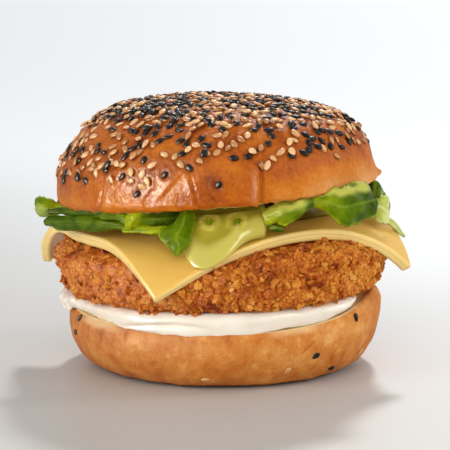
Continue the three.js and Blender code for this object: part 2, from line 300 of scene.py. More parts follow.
# the bun's heel: a dry, matt, golden crust, browner at the foot, with cream crumb where it is cut and
# a film of sauce smeared over the rim
def goldenCrust():
    material, tree, place, bake, cut, smear = newMaterial("golden heel crust", "bake", "cut", "smear")
    depth = mottled(tree, place, bake, (95, 3, 1.1), (240, 3, 0.8), (1000, 4, 0.4))  # 10, 4 and 1 mm
    tan = addNode(tree, "ShaderNodeValToRGB", {"stops": [
        (0.0, "#DAA35C"), (0.35, "#C47C34"), (0.65, "#B2621A"), (0.85, "#944A12"), (1.0, "#5E2C0C")]},
        {"Fac": depth})
    colour = laidOver(tree, tan, (smear, "#E8D0A0"), (cut, "#E9CE9A"))
    rough = addNode(tree, "ShaderNodeMapRange", {}, {"Value": smear, "To Min": 0.62, "To Max": 0.3})
    finishSkin(tree, place, (600, 6, 0.45, 0.6), {
        "Base Color": colour, "Roughness": rough, "IOR": 1.45, "Specular IOR Level": 0.25})
    return material


# deep-fried breadcrumb: translucent gold where thin, red-brown where it caught, with a film of oil
def friedCrumb(name, tones, roughness):
    material, tree, place, tone = newMaterial(name, "tone")
    fry = mottled(tree, place, tone, (150, 3, 0.9), (1100, 3, 0.7))  # 7 mm patches, 0.9 mm grain
    colour = addNode(tree, "ShaderNodeValToRGB", {"stops": tones}, {"Fac": fry})
    finishSkin(tree, place, (1600, 4, 0.5, 0.4), {
        "Base Color": colour, "Roughness": roughness, "IOR": 1.46, "Specular IOR Level": 0.2,
        "Subsurface Weight": 0.15, "Subsurface Radius": (1.0, 0.45, 0.2), "Subsurface Scale": 0.0012})
    return material


# young cheese cut from the block: a waxy golden face, and paler knife-cut edges with a faint line
def waxyCheese():
    material, tree, place, cut, depth = newMaterial("sliced young cheese", "cut", "depth")
    patches = addNode(tree, "ShaderNodeTexNoise", {}, {"Vector": place, "Scale": 45, "Detail": 3})  # 22 mm
    face = addNode(tree, "ShaderNodeValToRGB", {"stops": [
        (0.3, "#D8A84A"), (0.5, "#DEB252"), (0.7, "#E2BA5C")]}, {"Fac": patches.outputs["Fac"]})
    side = addNode(tree, "ShaderNodeValToRGB", {"stops": [
        (0.0, "#E8CA7C"), (0.52, "#F0D68C"), (0.6, "#DEBC6A"), (0.68, "#F0D890"), (1.0, "#E6C474")]},
        {"Fac": depth})
    finishSkin(tree, place, (260, 4, 0.12, 0.5), {
        "Base Color": laidOver(tree, face, (cut, side)), "Roughness": 0.42, "IOR": 1.44,
        "Subsurface Weight": 0.25, "Subsurface Radius": (1.0, 0.7, 0.3), "Subsurface Scale": 0.0025})
    return material


# mayonnaise: thick, off-white and wet, with soft light under its skin
def creamySauce():
    material, tree, place = newMaterial("creamy white sauce")
    patches = addNode(tree, "ShaderNodeTexNoise", {}, {"Vector": place, "Scale": 90, "Detail": 3})  # 11 mm
    colour = addNode(tree, "ShaderNodeValToRGB", {"stops": [
        (0.35, "#E4DDCF"), (0.65, "#EEE7DC")]}, {"Fac": patches.outputs["Fac"]})
    finishSkin(tree, place, None, {
        "Base Color": colour, "Roughness": 0.24, "IOR": 1.47, "Coat Weight": 0.2, "Coat Roughness": 0.12,
        "Subsurface Weight": 0.3, "Subsurface Radius": (1.0, 0.8, 0.55), "Subsurface Scale": 0.002})
    return material


# a mustard and herb dressing: glossy yellow-green, paler where it thins at its edges, with a painted
# highlight along that lip and round the bubbles, a painted shade in the gap behind the right-hand leaves,
# and specks of herb
def mustardSauce():
    material, tree, place, rim, deep = newMaterial("mustard herb sauce", "rim", "deep")
    patches = addNode(tree, "ShaderNodeTexNoise", {}, {"Vector": place, "Scale": 140, "Detail": 3})  # 7 mm
    base = addNode(tree, "ShaderNodeValToRGB", {"stops": [
        (0.3, "#938A1C"), (0.5, "#9C9226"), (0.7, "#A59C33")]}, {"Fac": patches.outputs["Fac"]})
    specks = addNode(tree, "ShaderNodeTexVoronoi", {}, {"Vector": place, "Scale": 420})  # one in 2.4 mm
    dots = addNode(tree, "ShaderNodeMapRange", {}, {"Value": specks.outputs["Distance"], "From Min": 0.1,
                                                    "From Max": 0.16, "To Min": 0.45, "To Max": 0.0})
    # painted highlight: the pale rim along the lip (partly the thin sauce's own paleness) and round the
    # bubbles; painted shade: the dark colour in the gap
    colour = laidOver(tree, base, (dots, "#7F8A2A"), (rim, "#BEB450"), (deep, "#4E4410"))
    finishSkin(tree, place, None, {
        "Base Color": colour, "Roughness": 0.28, "IOR": 1.46, "Coat Weight": 0.25, "Coat Roughness": 0.15,
        "Subsurface Weight": 0.2, "Subsurface Radius": (1.0, 0.9, 0.25), "Subsurface Scale": 0.002})
    return material


# a fresh leaf: waxy green blade, pale ribs, a lighter bloom below, and sauce where it was pressed in
def freshLeaf(name, tones, rib, below):
    material, tree, place, vein, under, sauce, light = newMaterial(name, "vein", "under", "sauce", "light")
    green = mottled(tree, place, light, (260, 4, 0.9))  # 4 mm patches
    blade = addNode(tree, "ShaderNodeValToRGB", {"stops": tones}, {"Fac": green})
    colour = laidOver(tree, blade, (under, below), (vein, rib), (sauce, "#BDBC58"))
    rough = addNode(tree, "ShaderNodeMapRange", {}, {"Value": sauce, "To Min": 0.38, "To Max": 0.2})
    finishSkin(tree, place, (700, 3, 0.2, 0.4), {
        "Base Color": colour, "Roughness": rough, "IOR": 1.43, "Specular IOR Level": 0.1,
        "Subsurface Weight": 0.2, "Subsurface Radius": (0.5, 1.0, 0.1), "Subsurface Scale": 0.0012})
    return material


# hulled or black sesame: a smooth satin seed, each lighter or darker than the next, glazed brown below
def sesameSkin(name, tones, roughness):
    material, tree, place, tone, rim = newMaterial(name, "tone", "rim")
    glazed = through(tree, rim, ("MULTIPLY_ADD", 0.5, tone))
    colour = addNode(tree, "ShaderNodeValToRGB", {"stops": tones},
                     {"Fac": mottled(tree, place, glazed, (1500, 2, 0.5))})
    finishSkin(tree, place, None, {
        "Base Color": colour, "Roughness": roughness, "IOR": 1.47, "Specular IOR Level": 0.35})
    return material


crustFinish = eggWashedCrust()
heelFinish = goldenCrust()
crumbFinish = friedCrumb("fried breadcrumb", [
    (0.0, "#E0A24A"), (0.3, "#CE842C"), (0.6, "#B8661A"), (0.85, "#A04A12"), (1.0, "#7C300C")], 0.6)
batterFinish = friedCrumb("fried crumb base", [
    (0.0, "#DC9848"), (0.3, "#CA7C2C"), (0.6, "#B86018"), (0.85, "#A64C14"), (1.0, "#84380C")], 0.55)
cheeseFinish = waxyCheese()
whiteFinish = creamySauce()
mustardFinish = mustardSauce()
leafFinish = freshLeaf("salad leaf", [
    (0.0, "#203402"), (0.35, "#3A5400"), (0.7, "#627A00"), (1.0, "#9AA410")], "#90A030", "#94A652")
paleLeafFinish = freshLeaf("pale salad leaf", [
    (0.0, "#688420"), (0.5, "#AAB24A"), (1.0, "#D2D690")], "#EEF0C6", "#CDD49A")
blackSeedFinish = sesameSkin("black sesame", [(0.0, "#0A0708"), (0.7, "#151010"), (1.0, "#32221A")], 0.42)
whiteSeedFinish = sesameSkin("toasted sesame", [
    (0.0, "#E2B684"), (0.4, "#CB9660"), (0.75, "#B07640"), (1.0, "#8A4C22")], 0.4)
print("materials made")


# Bun bottom: a shallow bowl of bread with a flat foot, and its rim turned up at the right
heel = {
    "middleX": 0.7, "footRadius": 38, "radius": 52, "rimRadius": 50.6, "widestShare": 0.78, "waviness": 0.55,
    "cut": (20.6, 0, 0.03), "curlAzimuth": 92, "curlSpread": 42, "curlInside": 4.4, "curlLip": 2.2,
    "tipSpread": 24, "tipOut": 1.1, "tipIn": 3.8, "steps": 640, "lumps": 0.4, "fineLumps": 0.16,
    "wrinkles": 0.22, "footWrinkles": 0.35, "pores": 0.35, "crackWidth": 0.4, "bake": 0.47,
    "browned": (92, 34), "paler": (48, 30),  # azimuth and spread
    "smears": [(-52, 11, 0.6), (27, 10, 0.4), (150, 20, 0.7), (-130, 18, 0.7)],  # azimuth, spread, strength
    # azimuth, height, half length, lean in mm per mm, bow, depth
    "cracks": [
        (-57, 16.2, 2.2, 0.1, 0.6, 0.5), (-36.4, 17, 2.4, 0.2, 0.2, 0.4), (31, 13.6, 2.6, 1.2, 0.2, 0.45),
        (20, 16, 3, -1.4, 0.3, 0.22), (-12, 9, 2.5, 0.4, 0.3, 0.2), (44, 11, 3, 0.7, -0.4, 0.2),
        (120, 14, 3, 0.5, 0.4, 0.4), (-150, 12, 3, -0.6, 0.4, 0.4), (178, 15, 2.4, 0.2, 0.3, 0.4)],
}


def heelCut(x, y):
    dx = x - heel["middleX"]
    share = np.hypot(dx, y) / heel["radius"]
    curl = hump(np.arctan2(dx, -y), heel["curlAzimuth"], heel["curlSpread"])
    rise = heel["curlInside"] * smoothStep(0.6, 0.86, share) + heel["curlLip"] * smoothStep(0.91, 0.97, share)
    return planeHeight(heel["cut"], x, y) + curl * rise


# height codes: 0 is the foot, 1 its edge, 2 the widest, 3 the rim and the cut
def makeHeel():
    flat = heel["footRadius"] / heel["radius"]
    rim = heel["rimRadius"] / heel["radius"]
    foot = [(s * flat, 0) for s in np.linspace(0.03, 1, 12)]
    side = [(flat + (1 - flat) * math.sin(a), 2 - math.cos(a)) for a in arc(400)]
    lip = [(1 - (1 - rim) * (1 - math.cos(a)), 2 + 0.97 * math.sin(a)) for a in arc(100)]
    edge = [(rim - 0.006, 2.985), (rim - 0.012, 3)]
    top = [(s, 3) for s in np.linspace(rim - 0.02, 0.03, 36)]
    side = evenly(side, heel["radius"], 16, 46)[1:]
    lip = evenly(lip, heel["radius"], 4.6, 14)[1:]
    share, code, angle = roundGrid(foot + side + lip + edge + top, heel["steps"])
    tip = hump(angle, heel["curlAzimuth"], heel["tipSpread"])
    wave = np.where(code > 0, heel["waviness"] * waver(angle, 1.1) + heel["tipOut"] * tip, 0)
    wave = wave - heel["tipIn"] * tip * np.clip(code - 2, 0, 1) ** 2
    x, y = spotAt(angle, share * (heel["radius"] + wave), heel["middleX"])
    rimHeight = heelCut(x, y)
    widest = heel["widestShare"] * rimHeight
    z = np.where(code <= 1, 0, np.where(code <= 2, (code - 1) * widest,
                                        widest + (code - 2) * (rimHeight - widest)))
    mesh = ringMesh("bread_bottom", np.stack([x, y, z], axis=-1))
    points, normals = meshPoints(mesh), meshNormals(mesh)
    codes, angles, shares = onPoints(code, 0, 3), onPoints(angle), onPoints(share)
    crust = smoothStep(1.0, 1.06, codes) * (codes < 2.96)
    # browned round the rim where it curls up
    browned = hump(angles, *heel["browned"]) * smoothStep(0.84, 0.92, shares)
    cutFace = smoothStep(2.94, 2.99, codes) * (1 - 0.8 * browned)
    move = crust * (heel["lumps"] * relief(points, 13, 1) + heel["fineLumps"] * relief(points, 5, 41)
                    + heel["wrinkles"] * relief(points * [1, 1, 0.4], 2.6, 2))
    sunk = np.zeros(len(points))
    for azimuth, height, half, lean, bow, deep in heel["cracks"]:
        up = points[:, 2] - height
        off = heel["radius"] * turnFrom(angles, azimuth) - lean * up - bow * (up / half) ** 2
        line = np.exp(-(off / heel["crackWidth"]) ** 2) * smoothStep(1, 0.5, np.abs(up / half))
        sunk = np.maximum(sunk, line * (codes > 1) * deep)
    move -= sunk
    pores = heel["pores"] * np.minimum(0, relief(points, 1.6, 3) + 0.1)
    move += np.where(codes >= 2.96, pores, 0)
    foot = smoothStep(1.5, 0.0, points[:, 2]) * crust
    move -= foot * heel["footWrinkles"] * np.maximum(0, relief(points * [1, 1, 0.3], 2.2, 40))
    points = points + normals * move[:, None]
    movePoints(mesh, points)
    level = points[:, 2] / np.maximum(1, heelCut(points[:, 0], points[:, 1]))
    # browner at the foot, darker in the cracks as a painted shade, paler upwards, most of all in front of the
    # curl
    bake = heel["bake"] - 0.05 * smoothStep(0.0, 0.9, level) + 0.6 * smoothStep(0.1, 0.02, level) + 0.7 * sunk
    bake -= 0.1 * hump(angles, *heel["paler"]) * smoothStep(0.3, 0.6, level)
    setAttribute(mesh, "bake", bake)
    setAttribute(mesh, "cut", cutFace)
    film = humps(angles, heel["smears"], 4) * (codes > 2)
    film = film * smoothStep(0.86, 0.97, level + 0.05 * relief(points, 6, 42))
    setAttribute(mesh, "smear", np.clip(film, 0, 1))
    piece = addPiece("bread_bottom", mesh, heelFinish)
    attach(piece, "root")
    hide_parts("bun_bottom")
    return piece


breadBottom = makeHeel()
print("bun bottom made")


# Patty: a thick breaded disc, widest near the top, its sides drawn in towards the foot
patty = {
    "middleX": 1.5, "radius": 55.4, "under": (24.6, 0.022, 0.012), "upper": (44.4, 0.058, 0),
    "roundness": 6, "waviness": 0.9, "crumbOut": 0.5, "crumbRoom": 0.8, "taper": 0.035, "steps": 800,
    "crumbSize": 2.1, "crumbRise": 1.0, "fineSize": 1.1, "fineRise": 0.45, "swell": 0.6,
    # azimuth, spread and: mm outwards near the top, more taper, how smooth, how much paler as a painted light
    "shoulders": [(-90, 30, 1.8), (84, 24, 2.4)], "moreTaper": [(84, 40, 0.052)],
    "pressed": [(-62, 40, 1), (75, 30, 0.35)], "pale": [(64, 36, 0.32)],
}


# Cheese: a square slice laid corner to the front, each corner rolled down on an arc
cheese = {
    "side": 99.2, "thickness": 3.5, "middle": (0.0, 4.2), "turn": -17.2, "edgeRound": 0.45,
    "bends": [(33.9, 29, 10), (36.2, 29, 0), (38, 30, -5), (50, 14.5, 0)],  # from, radius, lean
    "buckle": (-49, 3), "buckleRise": 2.3, "buckleSpread": 11, "gap": 0.3, "uneven": 0.9,
    "grid": 110, "layers": 8,
}


def cheeseUnder(x, y):
    away = np.hypot(x - cheese["buckle"][0], y - cheese["buckle"][1]) / cheese["buckleSpread"]
    return planeHeight(patty["upper"], x, y) + cheese["gap"] + cheese["buckleRise"] * np.exp(-away * away)


# how far a face of the slice has fallen where its corners roll down; offset is from the slice's middle
def cheeseDrop(x, y, offset):
    drop = 0 * x
    for i, (start, radius, lean) in enumerate(cheese["bends"]):
        azimuth = math.radians(cheese["turn"] + 90 * i + lean)
        past = np.maximum(0, x * math.sin(azimuth) - y * math.cos(azimuth) - start)
        level = radius + offset
        drop = drop + level - np.sqrt(np.maximum(0, level ** 2 - past ** 2))
    return drop


def cheeseTop(x, y):
    return cheeseUnder(x, y) + cheese["thickness"] - cheeseDrop(x, y, cheese["thickness"] / 2)


def cheeseBottom(x, y):
    return cheeseUnder(x, y) - cheeseDrop(x, y, -cheese["thickness"] / 2)


# heights go from -1 at the underside to 1 at the top
def makePatty():
    power = 2 / patty["roundness"]
    curve = [(math.cos(a) ** power, math.sin(a) ** power) for a in arc(900)]
    curve = [p for p in curve if p[0] > 0.8]
    curve = [(s, -h) for s, h in curve[::-1]] + curve
    side = evenly(curve, patty["radius"], 10, 96)
    inner = [(s, 1) for s in np.linspace(0.78, 0.03, 12)]
    below = [(s, -1) for s in np.linspace(0.03, 0.78, 12)]
    share, height, angle = roundGrid(below + side + inner, patty["steps"])
    taper = (1 - height) / 2 * (patty["taper"] + humps(angle, patty["moreTaper"]))
    radius = patty["radius"] - patty["crumbOut"] + patty["waviness"] * waver(angle, 2.6)
    reach = share * radius * (1 - taper)
    reach = reach + share * humps(angle, patty["shoulders"]) * smoothStep(-0.6, 0.5, height)
    x, y = spotAt(angle, reach, patty["middleX"])
    low, high = planeHeight(patty["under"], x, y), cheeseUnder(x, y) - cheese["gap"]
    z = (low + high) / 2 + height * (high - low - patty["crumbRoom"]) / 2
    points = np.stack([x, y, z], axis=-1)
    # the lower edge hangs unevenly
    flat = points * [1, 1, 0]
    hanging = 0.9 * (relief(flat, 4.5, 43) + 0.1) + 0.5 * relief(flat, 2, 44)
    points[..., 2] -= hanging * smoothStep(0.4, -1, height) * smoothStep(0.7, 0.85, share)
    mesh = ringMesh("breading", points)
    points, normals = meshPoints(mesh), meshNormals(mesh)
    shares, angles, heights = onPoints(share), onPoints(angle), onPoints(height, -1, 1)
    onSide = smoothStep(0.78, 0.9, shares)
    smooth = humps(angles, patty["pressed"], 4)
    inside, draw = lumps(points, patty["crumbSize"], 1.7)
    insideFine, drawFine = lumps(points + 40, patty["fineSize"], 5.3)
    rise = patty["crumbRise"] * (inside * (0.25 + 0.75 * draw) - 0.35) * (1 - 0.45 * smooth)
    rise += patty["fineRise"] * (insideFine * (0.2 + 0.8 * drawFine) - 0.4) * (1 - 0.25 * smooth)
    rise += patty["swell"] * relief(points, 7, 4)
    points = points + normals * (rise * onSide)[:, None]
    # it gives way where the cheese lies on it
    points[:, 2] = np.minimum(points[:, 2], cheeseBottom(points[:, 0], points[:, 1]) - 0.05)
    movePoints(mesh, points)
    # painted shade: the tone darkens in the cracks between the lumps
    cracks = 1 - 0.6 * inside - 0.4 * insideFine
    streaks = relief(points * [1, 1, 0.3], 2.4, 45) * smooth
    caught = 0.45 * smoothStep(0, 0.7, relief(points, 6, 46)) + 0.25 * smooth * relief(points, 1.6, 51)
    tone = 0.3 + 0.45 * cracks * (1 - 0.5 * smooth) + 0.3 * (draw - 0.5) + 0.15 * (drawFine - 0.5)
    # painted light: the tone is paler on the right, where the lamps leave it dim
    setAttribute(mesh, "tone", tone - humps(angles, patty["pale"]) + 0.3 * streaks + caught)
    cover = smoothStep(0.74, 0.84, shares) * (1 - 0.8 * smooth) * smoothStep(1, 0.85, heights)
    setAttribute(mesh, "cover", cover)
    piece = addPiece("breading", mesh, batterFinish)
    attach(piece, "root")
    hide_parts("fish_patty")
    return piece


breading = makePatty()
print("patty made")


# an empty geometry tree with its named inputs and one output
def newTree(name, inputs, output):
    tree = bpy.data.node_groups.new(name, "GeometryNodeTree")
    for label, kind in inputs.items():
        tree.interface.new_socket(label, in_out="INPUT", socket_type="NodeSocket" + kind)
    tree.interface.new_socket(output, in_out="OUTPUT", socket_type="NodeSocketGeometry")
    return tree, addNode(tree, "NodeGroupInput").outputs


# ends a geometry tree: instances made real, and the finish put on
def endTree(tree, geometry, finish):
    real = addNode(tree, "GeometryNodeRealizeInstances", {}, {"Geometry": geometry})
    finished = addNode(tree, "GeometryNodeSetMaterial", {}, {"Geometry": real, "Material": finish})
    addNode(tree, "NodeGroupOutput", {}, {0: finished})


# runs a tree on a mesh, its inputs set by their identifiers, and returns the result as a plain mesh
def runTree(tree, name, start, values):
    holder = bpy.data.objects.new(name, start)
    scene.collection.objects.link(holder)
    modifier = holder.modifiers.new(name, "NODES")
    modifier.node_group = tree
    for socket in tree.interface.items_tree:
        if socket.in_out == "INPUT" and socket.name in values:
            modifier[socket.identifier] = values[socket.name]
    graph = bpy.context.evaluated_depsgraph_get()
    mesh = bpy.data.meshes.new_from_object(holder.evaluated_get(graph))
    bpy.data.objects.remove(holder)
    mesh.name = name
    return mesh


# Scatter tree: seeds or crumbs laid on a surface by its "cover" attribute, and some in a pile on top
def scatterTree():
    sizes = ("Per Square Metre", "Spacing", "Piled Per Square Metre", "Pile Lift", "Kind From", "Kind To",
             "Smallest", "Largest", "Lift", "Tilt", "Tone From", "Tone To")
    tree, given = newTree("scatterOnSurface", {
        "Surface": "Geometry", "Shapes": "Collection", "Finish": "Material", **dict.fromkeys(sizes, "Float"),
        "Seed": "Int"}, "Scattered")
    cover, below, up = [addNode(tree, "GeometryNodeInputNamedAttribute", {}, {"Name": name})
                        for name in ("cover", "tone", "lift")]
    joined = addNode(tree, "GeometryNodeJoinGeometry")
    layers = [  # density, share of it, lift, seed
        (given["Per Square Metre"], cover, given["Lift"], given["Seed"]),
        (given["Piled Per Square Metre"], through(tree, cover, ("POWER", 3.0)), given["Pile Lift"], 77)]
    for density, share, lift, seed in layers:
        spots = addNode(tree, "GeometryNodeDistributePointsOnFaces", {"distribute_method": "POISSON"}, {
            "Mesh": given["Surface"], "Distance Min": given["Spacing"], "Density Max": density,
            "Density Factor": share, "Seed": seed})
        lifted = addNode(tree, "GeometryNodeStoreNamedAttribute", {}, {
            "Geometry": spots.outputs["Points"], "Name": "lift", "Value": lift})
        turned = addNode(tree, "GeometryNodeStoreNamedAttribute", {"data_type": "QUATERNION"}, {
            "Geometry": lifted, "Name": "facing", "Value": spots.outputs["Rotation"]})
        tree.links.new(turned.outputs[0], joined.inputs[0])
    draw = addNode(tree, "FunctionNodeRandomValue", {}, {"Seed": 5}).outputs[1]
    above = addNode(tree, "FunctionNodeCompare", {"operation": "GREATER_EQUAL"},
                    {"A": draw, "B": given["Kind From"]})
    under = addNode(tree, "FunctionNodeCompare", {"operation": "LESS_THAN"},
                    {"A": draw, "B": given["Kind To"]})
    chosen = addNode(tree, "FunctionNodeBooleanMath", {"operation": "AND"}, {0: above, 1: under})
    kept = addNode(tree, "GeometryNodeSeparateGeometry", {}, {"Geometry": joined, "Selection": chosen})
    # a crumb or seed is partly the tone of what it lies on, painted shade and light included
    own = addNode(tree, "FunctionNodeRandomValue", {},
                  {2: given["Tone From"], 3: given["Tone To"], "Seed": 6})
    tone = through(tree, below, ("MULTIPLY_ADD", 0.6, own.outputs[1]))
    toned = addNode(tree, "GeometryNodeStoreNamedAttribute", {},
                    {"Geometry": kept, "Name": "tone", "Value": tone})
    tiltBack = through(tree, given["Tilt"], ("MULTIPLY", -1))
    least = addNode(tree, "ShaderNodeCombineXYZ", {}, {"X": tiltBack, "Y": tiltBack, "Z": 0})
    most = addNode(tree, "ShaderNodeCombineXYZ", {}, {"X": given["Tilt"], "Y": given["Tilt"], "Z": math.tau})
    turn = addNode(tree, "FunctionNodeRandomValue", {"data_type": "FLOAT_VECTOR"},
                   {"Min": least, "Max": most, "Seed": 7})
    asTurn = addNode(tree, "FunctionNodeEulerToRotation", {}, {"Euler": turn})
    facing = addNode(tree, "GeometryNodeInputNamedAttribute", {"data_type": "QUATERNION"}, {"Name": "facing"})
    rotation = addNode(tree, "FunctionNodeRotateRotation", {"rotation_space": "LOCAL"},
                       {"Rotation": facing, "Rotate By": asTurn})
    size = addNode(tree, "FunctionNodeRandomValue", {},
                   {2: given["Smallest"], 3: given["Largest"], "Seed": 8})
    shapes = addNode(tree, "GeometryNodeCollectionInfo", {},
                     {"Collection": given["Shapes"], "Separate Children": True, "Reset Children": True})
    placed = addNode(tree, "GeometryNodeInstanceOnPoints", {}, {
        "Points": toned, "Instance": shapes, "Pick Instance": True, "Rotation": rotation,
        "Scale": size.outputs[1]})
    outward = addNode(tree, "ShaderNodeCombineXYZ", {}, {"Z": up})
    out = addNode(tree, "FunctionNodeRotateVector", {}, {"Vector": outward, "Rotation": facing})
    raised = addNode(tree, "GeometryNodeTranslateInstances", {},
                     {"Instances": placed, "Translation": out, "Local Space": False})
    endTree(tree, raised, given["Finish"])
    return tree


scatter = scatterTree()
everyKind = {"Kind From": 0.0, "Kind To": 1.01}  # draws are from 0 to 1


def scatterOn(surface, name, values):
    piece = addPiece(name, runTree(scatter, name, surface.data, values), values["Finish"])
    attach(piece, "root")
    print(f"{name}: {len(piece.data.polygons)} faces")
    return piece


# a small closed lump of rings along X: each ring has its place, from -0.5 to 0.5, half width and height
def lump(name, length, rings, around, wobble, seed):
    points = [Vector((-length / 2, 0, 0))]
    for i, (share, w, h) in enumerate(rings):
        for j in range(around):
            a = math.tau * j / around
            p = Vector((share * length, w * math.cos(a), h * math.sin(a)))
            points.append(p * (1 + wobble * noise.noise(Vector((i * 1.7, j * 1.3, seed * 5.1)))))
    points.append(Vector((length / 2, 0, 0)))
    mesh = bpy.data.meshes.new(name)
    mesh.from_pydata([p * mm for p in points], [], ringFaces(len(rings), around))
    tall = max(h for _, _, h in rings)
    setAttribute(mesh, "rim", [1 - smoothStep(-0.2, 0.75, p[2] / tall) for p in points])
    return mesh


def shapeSet(name, meshes, smooth):
    shapes = bpy.data.collections.new(name)
    for mesh in meshes:
        mesh.polygons.foreach_set("use_smooth", [smooth] * len(mesh.polygons))
        shapes.objects.link(bpy.data.objects.new(mesh.name, mesh))
    return shapes


# Breadcrumbs: rough broken lumps of three sizes, in mm, with their tilt in radians and how many there are
# to a square metre
crumbs = [
    {"name": "crumb_grains", "size": 1.5, "flat": 0.7, "kinds": 8, "density": 290000.0, "spacing": 1.25,
     "lift": 0.25, "tilt": 1.2, "seed": 1},
    {"name": "crumb_flakes", "size": 2.4, "flat": 0.6, "kinds": 8, "density": 150000.0, "spacing": 1.8,
     "lift": 0.35, "tilt": 0.7, "seed": 2},
    {"name": "crumb_shards", "size": 3.1, "flat": 0.45, "kinds": 6, "density": 20000.0, "spacing": 3.0,
     "lift": 0.5, "tilt": 0.9, "seed": 3},
]
crumbRings = [(-0.3, 0.36), (0, 0.46), (0.3, 0.38)]  # place and half width, in sizes


def makeCrumbs():
    for kind in crumbs:
        size, flat = kind["size"], kind["flat"]
        rings = [(share, wide * size, wide * size * flat) for share, wide in crumbRings]
        shapes = [lump(f"{kind['name']}{i}", size, rings, around=6, wobble=1.3, seed=i + 10 * kind["seed"])
                  for i in range(kind["kinds"])]
        scatterOn(breading, kind["name"], {
            "Shapes": shapeSet(kind["name"], shapes, False), "Finish": crumbFinish, **everyKind,
            "Per Square Metre": kind["density"], "Spacing": kind["spacing"] * mm,
            "Piled Per Square Metre": 0.0, "Pile Lift": 0.0,
            "Smallest": 0.7, "Largest": 1.3, "Lift": kind["lift"] * mm, "Tilt": kind["tilt"],
            "Tone From": -0.05, "Tone To": 0.5, "Seed": kind["seed"]})


makeCrumbs()
print("breadcrumbs made")


# the slice's shape follows a rule, so it is a node tree: slab, turned, corners rolled, laid on the patty
def cheeseTree():
    sizes = ("Side", "Thickness", "Edge Round", "Turn", "Buckle Rise", "Buckle Spread")
    tree, given = newTree("hungSlice", {**dict.fromkeys(sizes, "Float"), "Finish": "Material"}, "Slice")
    size = addNode(tree, "ShaderNodeCombineXYZ", {}, {"X": given["Side"], "Y": given["Side"],
                                                      "Z": given["Thickness"]})
    slab = addNode(tree, "GeometryNodeMeshCube", {}, {
        "Size": size, "Vertices X": cheese["grid"], "Vertices Y": cheese["grid"],
        "Vertices Z": cheese["layers"]})
    at = addNode(tree, "GeometryNodeInputPosition")
    up = addNode(tree, "ShaderNodeSeparateXYZ", {}, {"Vector": at}).outputs["Z"]
    normal = addNode(tree, "GeometryNodeInputNormal")
    facing = addNode(tree, "ShaderNodeSeparateXYZ", {}, {"Vector": normal})
    cut = through(tree, facing.outputs["Z"], ("ABSOLUTE",), ("LESS_THAN", 0.5))
    marked = addNode(tree, "GeometryNodeStoreNamedAttribute", {"domain": "FACE"},
                     {"Geometry": slab.outputs["Mesh"], "Name": "cut", "Value": cut})
    upShare = through(tree, up, ("DIVIDE", given["Thickness"]))
    depth = through(tree, upShare, ("ADD", 0.5))
    layered = addNode(tree, "GeometryNodeStoreNamedAttribute", {},
                      {"Geometry": marked, "Name": "depth", "Value": depth})
    # the knife edges are a little rounded: the faces near top and bottom are drawn in
    keep = through(tree, upShare, ("MULTIPLY", 2.0), ("ABSOLUTE",), ("POWER", 7.0),
                   ("MULTIPLY", given["Edge Round"]), ("DIVIDE", given["Side"]), ("MULTIPLY_ADD", -2.0, 1.0))
    drawn = addNode(tree, "ShaderNodeVectorMath", {"operation": "SCALE"}, {0: at, "Scale": keep})
    turned = addNode(tree, "ShaderNodeVectorRotate", {"rotation_type": "Z_AXIS"},
                     {"Vector": drawn, "Angle": given["Turn"]})
    middle = [c * mm for c in cheese["middle"]]
    moved = addNode(tree, "ShaderNodeVectorMath", {"operation": "ADD"}, {0: turned, 1: (*middle, 0)})
    flat = addNode(tree, "ShaderNodeVectorMath", {"operation": "MULTIPLY"}, {0: moved, 1: (1, 1, 0)})
    height = through(tree, given["Thickness"], ("MULTIPLY_ADD", 0.5, up))
    for i, (start, radius, lean) in enumerate(cheese["bends"]):
        azimuth = math.radians(cheese["turn"] + 90 * i + lean)
        towards = (math.sin(azimuth), -math.cos(azimuth), 0)
        out = addNode(tree, "ShaderNodeVectorMath", {"operation": "DOT_PRODUCT"}, {0: flat, 1: towards})
        past = through(tree, out.outputs["Value"], ("SUBTRACT", start * mm), ("MAXIMUM", 0.0))
        turn = through(tree, past, ("DIVIDE", radius * mm))
        level = through(tree, up, ("ADD", radius * mm))
        pull = through(tree, turn, ("SINE",), ("MULTIPLY", level), ("SUBTRACT", past))
        step = addNode(tree, "ShaderNodeVectorMath", {"operation": "SCALE"}, {0: towards, "Scale": pull})
        flat = addNode(tree, "ShaderNodeVectorMath", {"operation": "ADD"}, {0: flat, 1: step})
        drop = through(tree, turn, ("COSINE",), ("MULTIPLY_ADD", -1.0, 1.0), ("MULTIPLY", level))
        height = through(tree, height, ("SUBTRACT", drop))
    buckle = [c * mm for c in cheese["buckle"]]
    away = addNode(tree, "ShaderNodeVectorMath", {"operation": "DISTANCE"}, {0: flat, 1: (*buckle, 0)})
    height = through(tree, away.outputs["Value"], ("DIVIDE", given["Buckle Spread"]), ("POWER", 2.0),
                     ("MULTIPLY", -1.0), ("EXPONENT",), ("MULTIPLY_ADD", given["Buckle Rise"], height))
    level, *slopes = patty["upper"]
    slope = addNode(tree, "ShaderNodeVectorMath", {"operation": "DOT_PRODUCT"}, {0: flat, 1: (*slopes, 0)})
    height = through(tree, height, ("ADD", slope.outputs["Value"]), ("ADD", (level + cheese["gap"]) * mm))
    # hand-cut, so faintly uneven
    waves = addNode(tree, "ShaderNodeTexNoise", {}, {"Vector": at, "Scale": 55, "Detail": 1})
    uneven = cheese["uneven"] * mm
    height = through(tree, waves.outputs["Fac"], ("MULTIPLY_ADD", uneven, height), ("SUBTRACT", uneven / 2))
    spot = addNode(tree, "ShaderNodeSeparateXYZ", {}, {"Vector": flat})
    final = addNode(tree, "ShaderNodeCombineXYZ", {}, {"X": spot.outputs["X"], "Y": spot.outputs["Y"],
                                                       "Z": height})
    shaped = addNode(tree, "GeometryNodeSetPosition", {}, {"Geometry": layered, "Position": final})
    smooth = addNode(tree, "GeometryNodeSetShadeSmooth", {}, {"Geometry": shaped})
    endTree(tree, smooth, given["Finish"])
    return tree


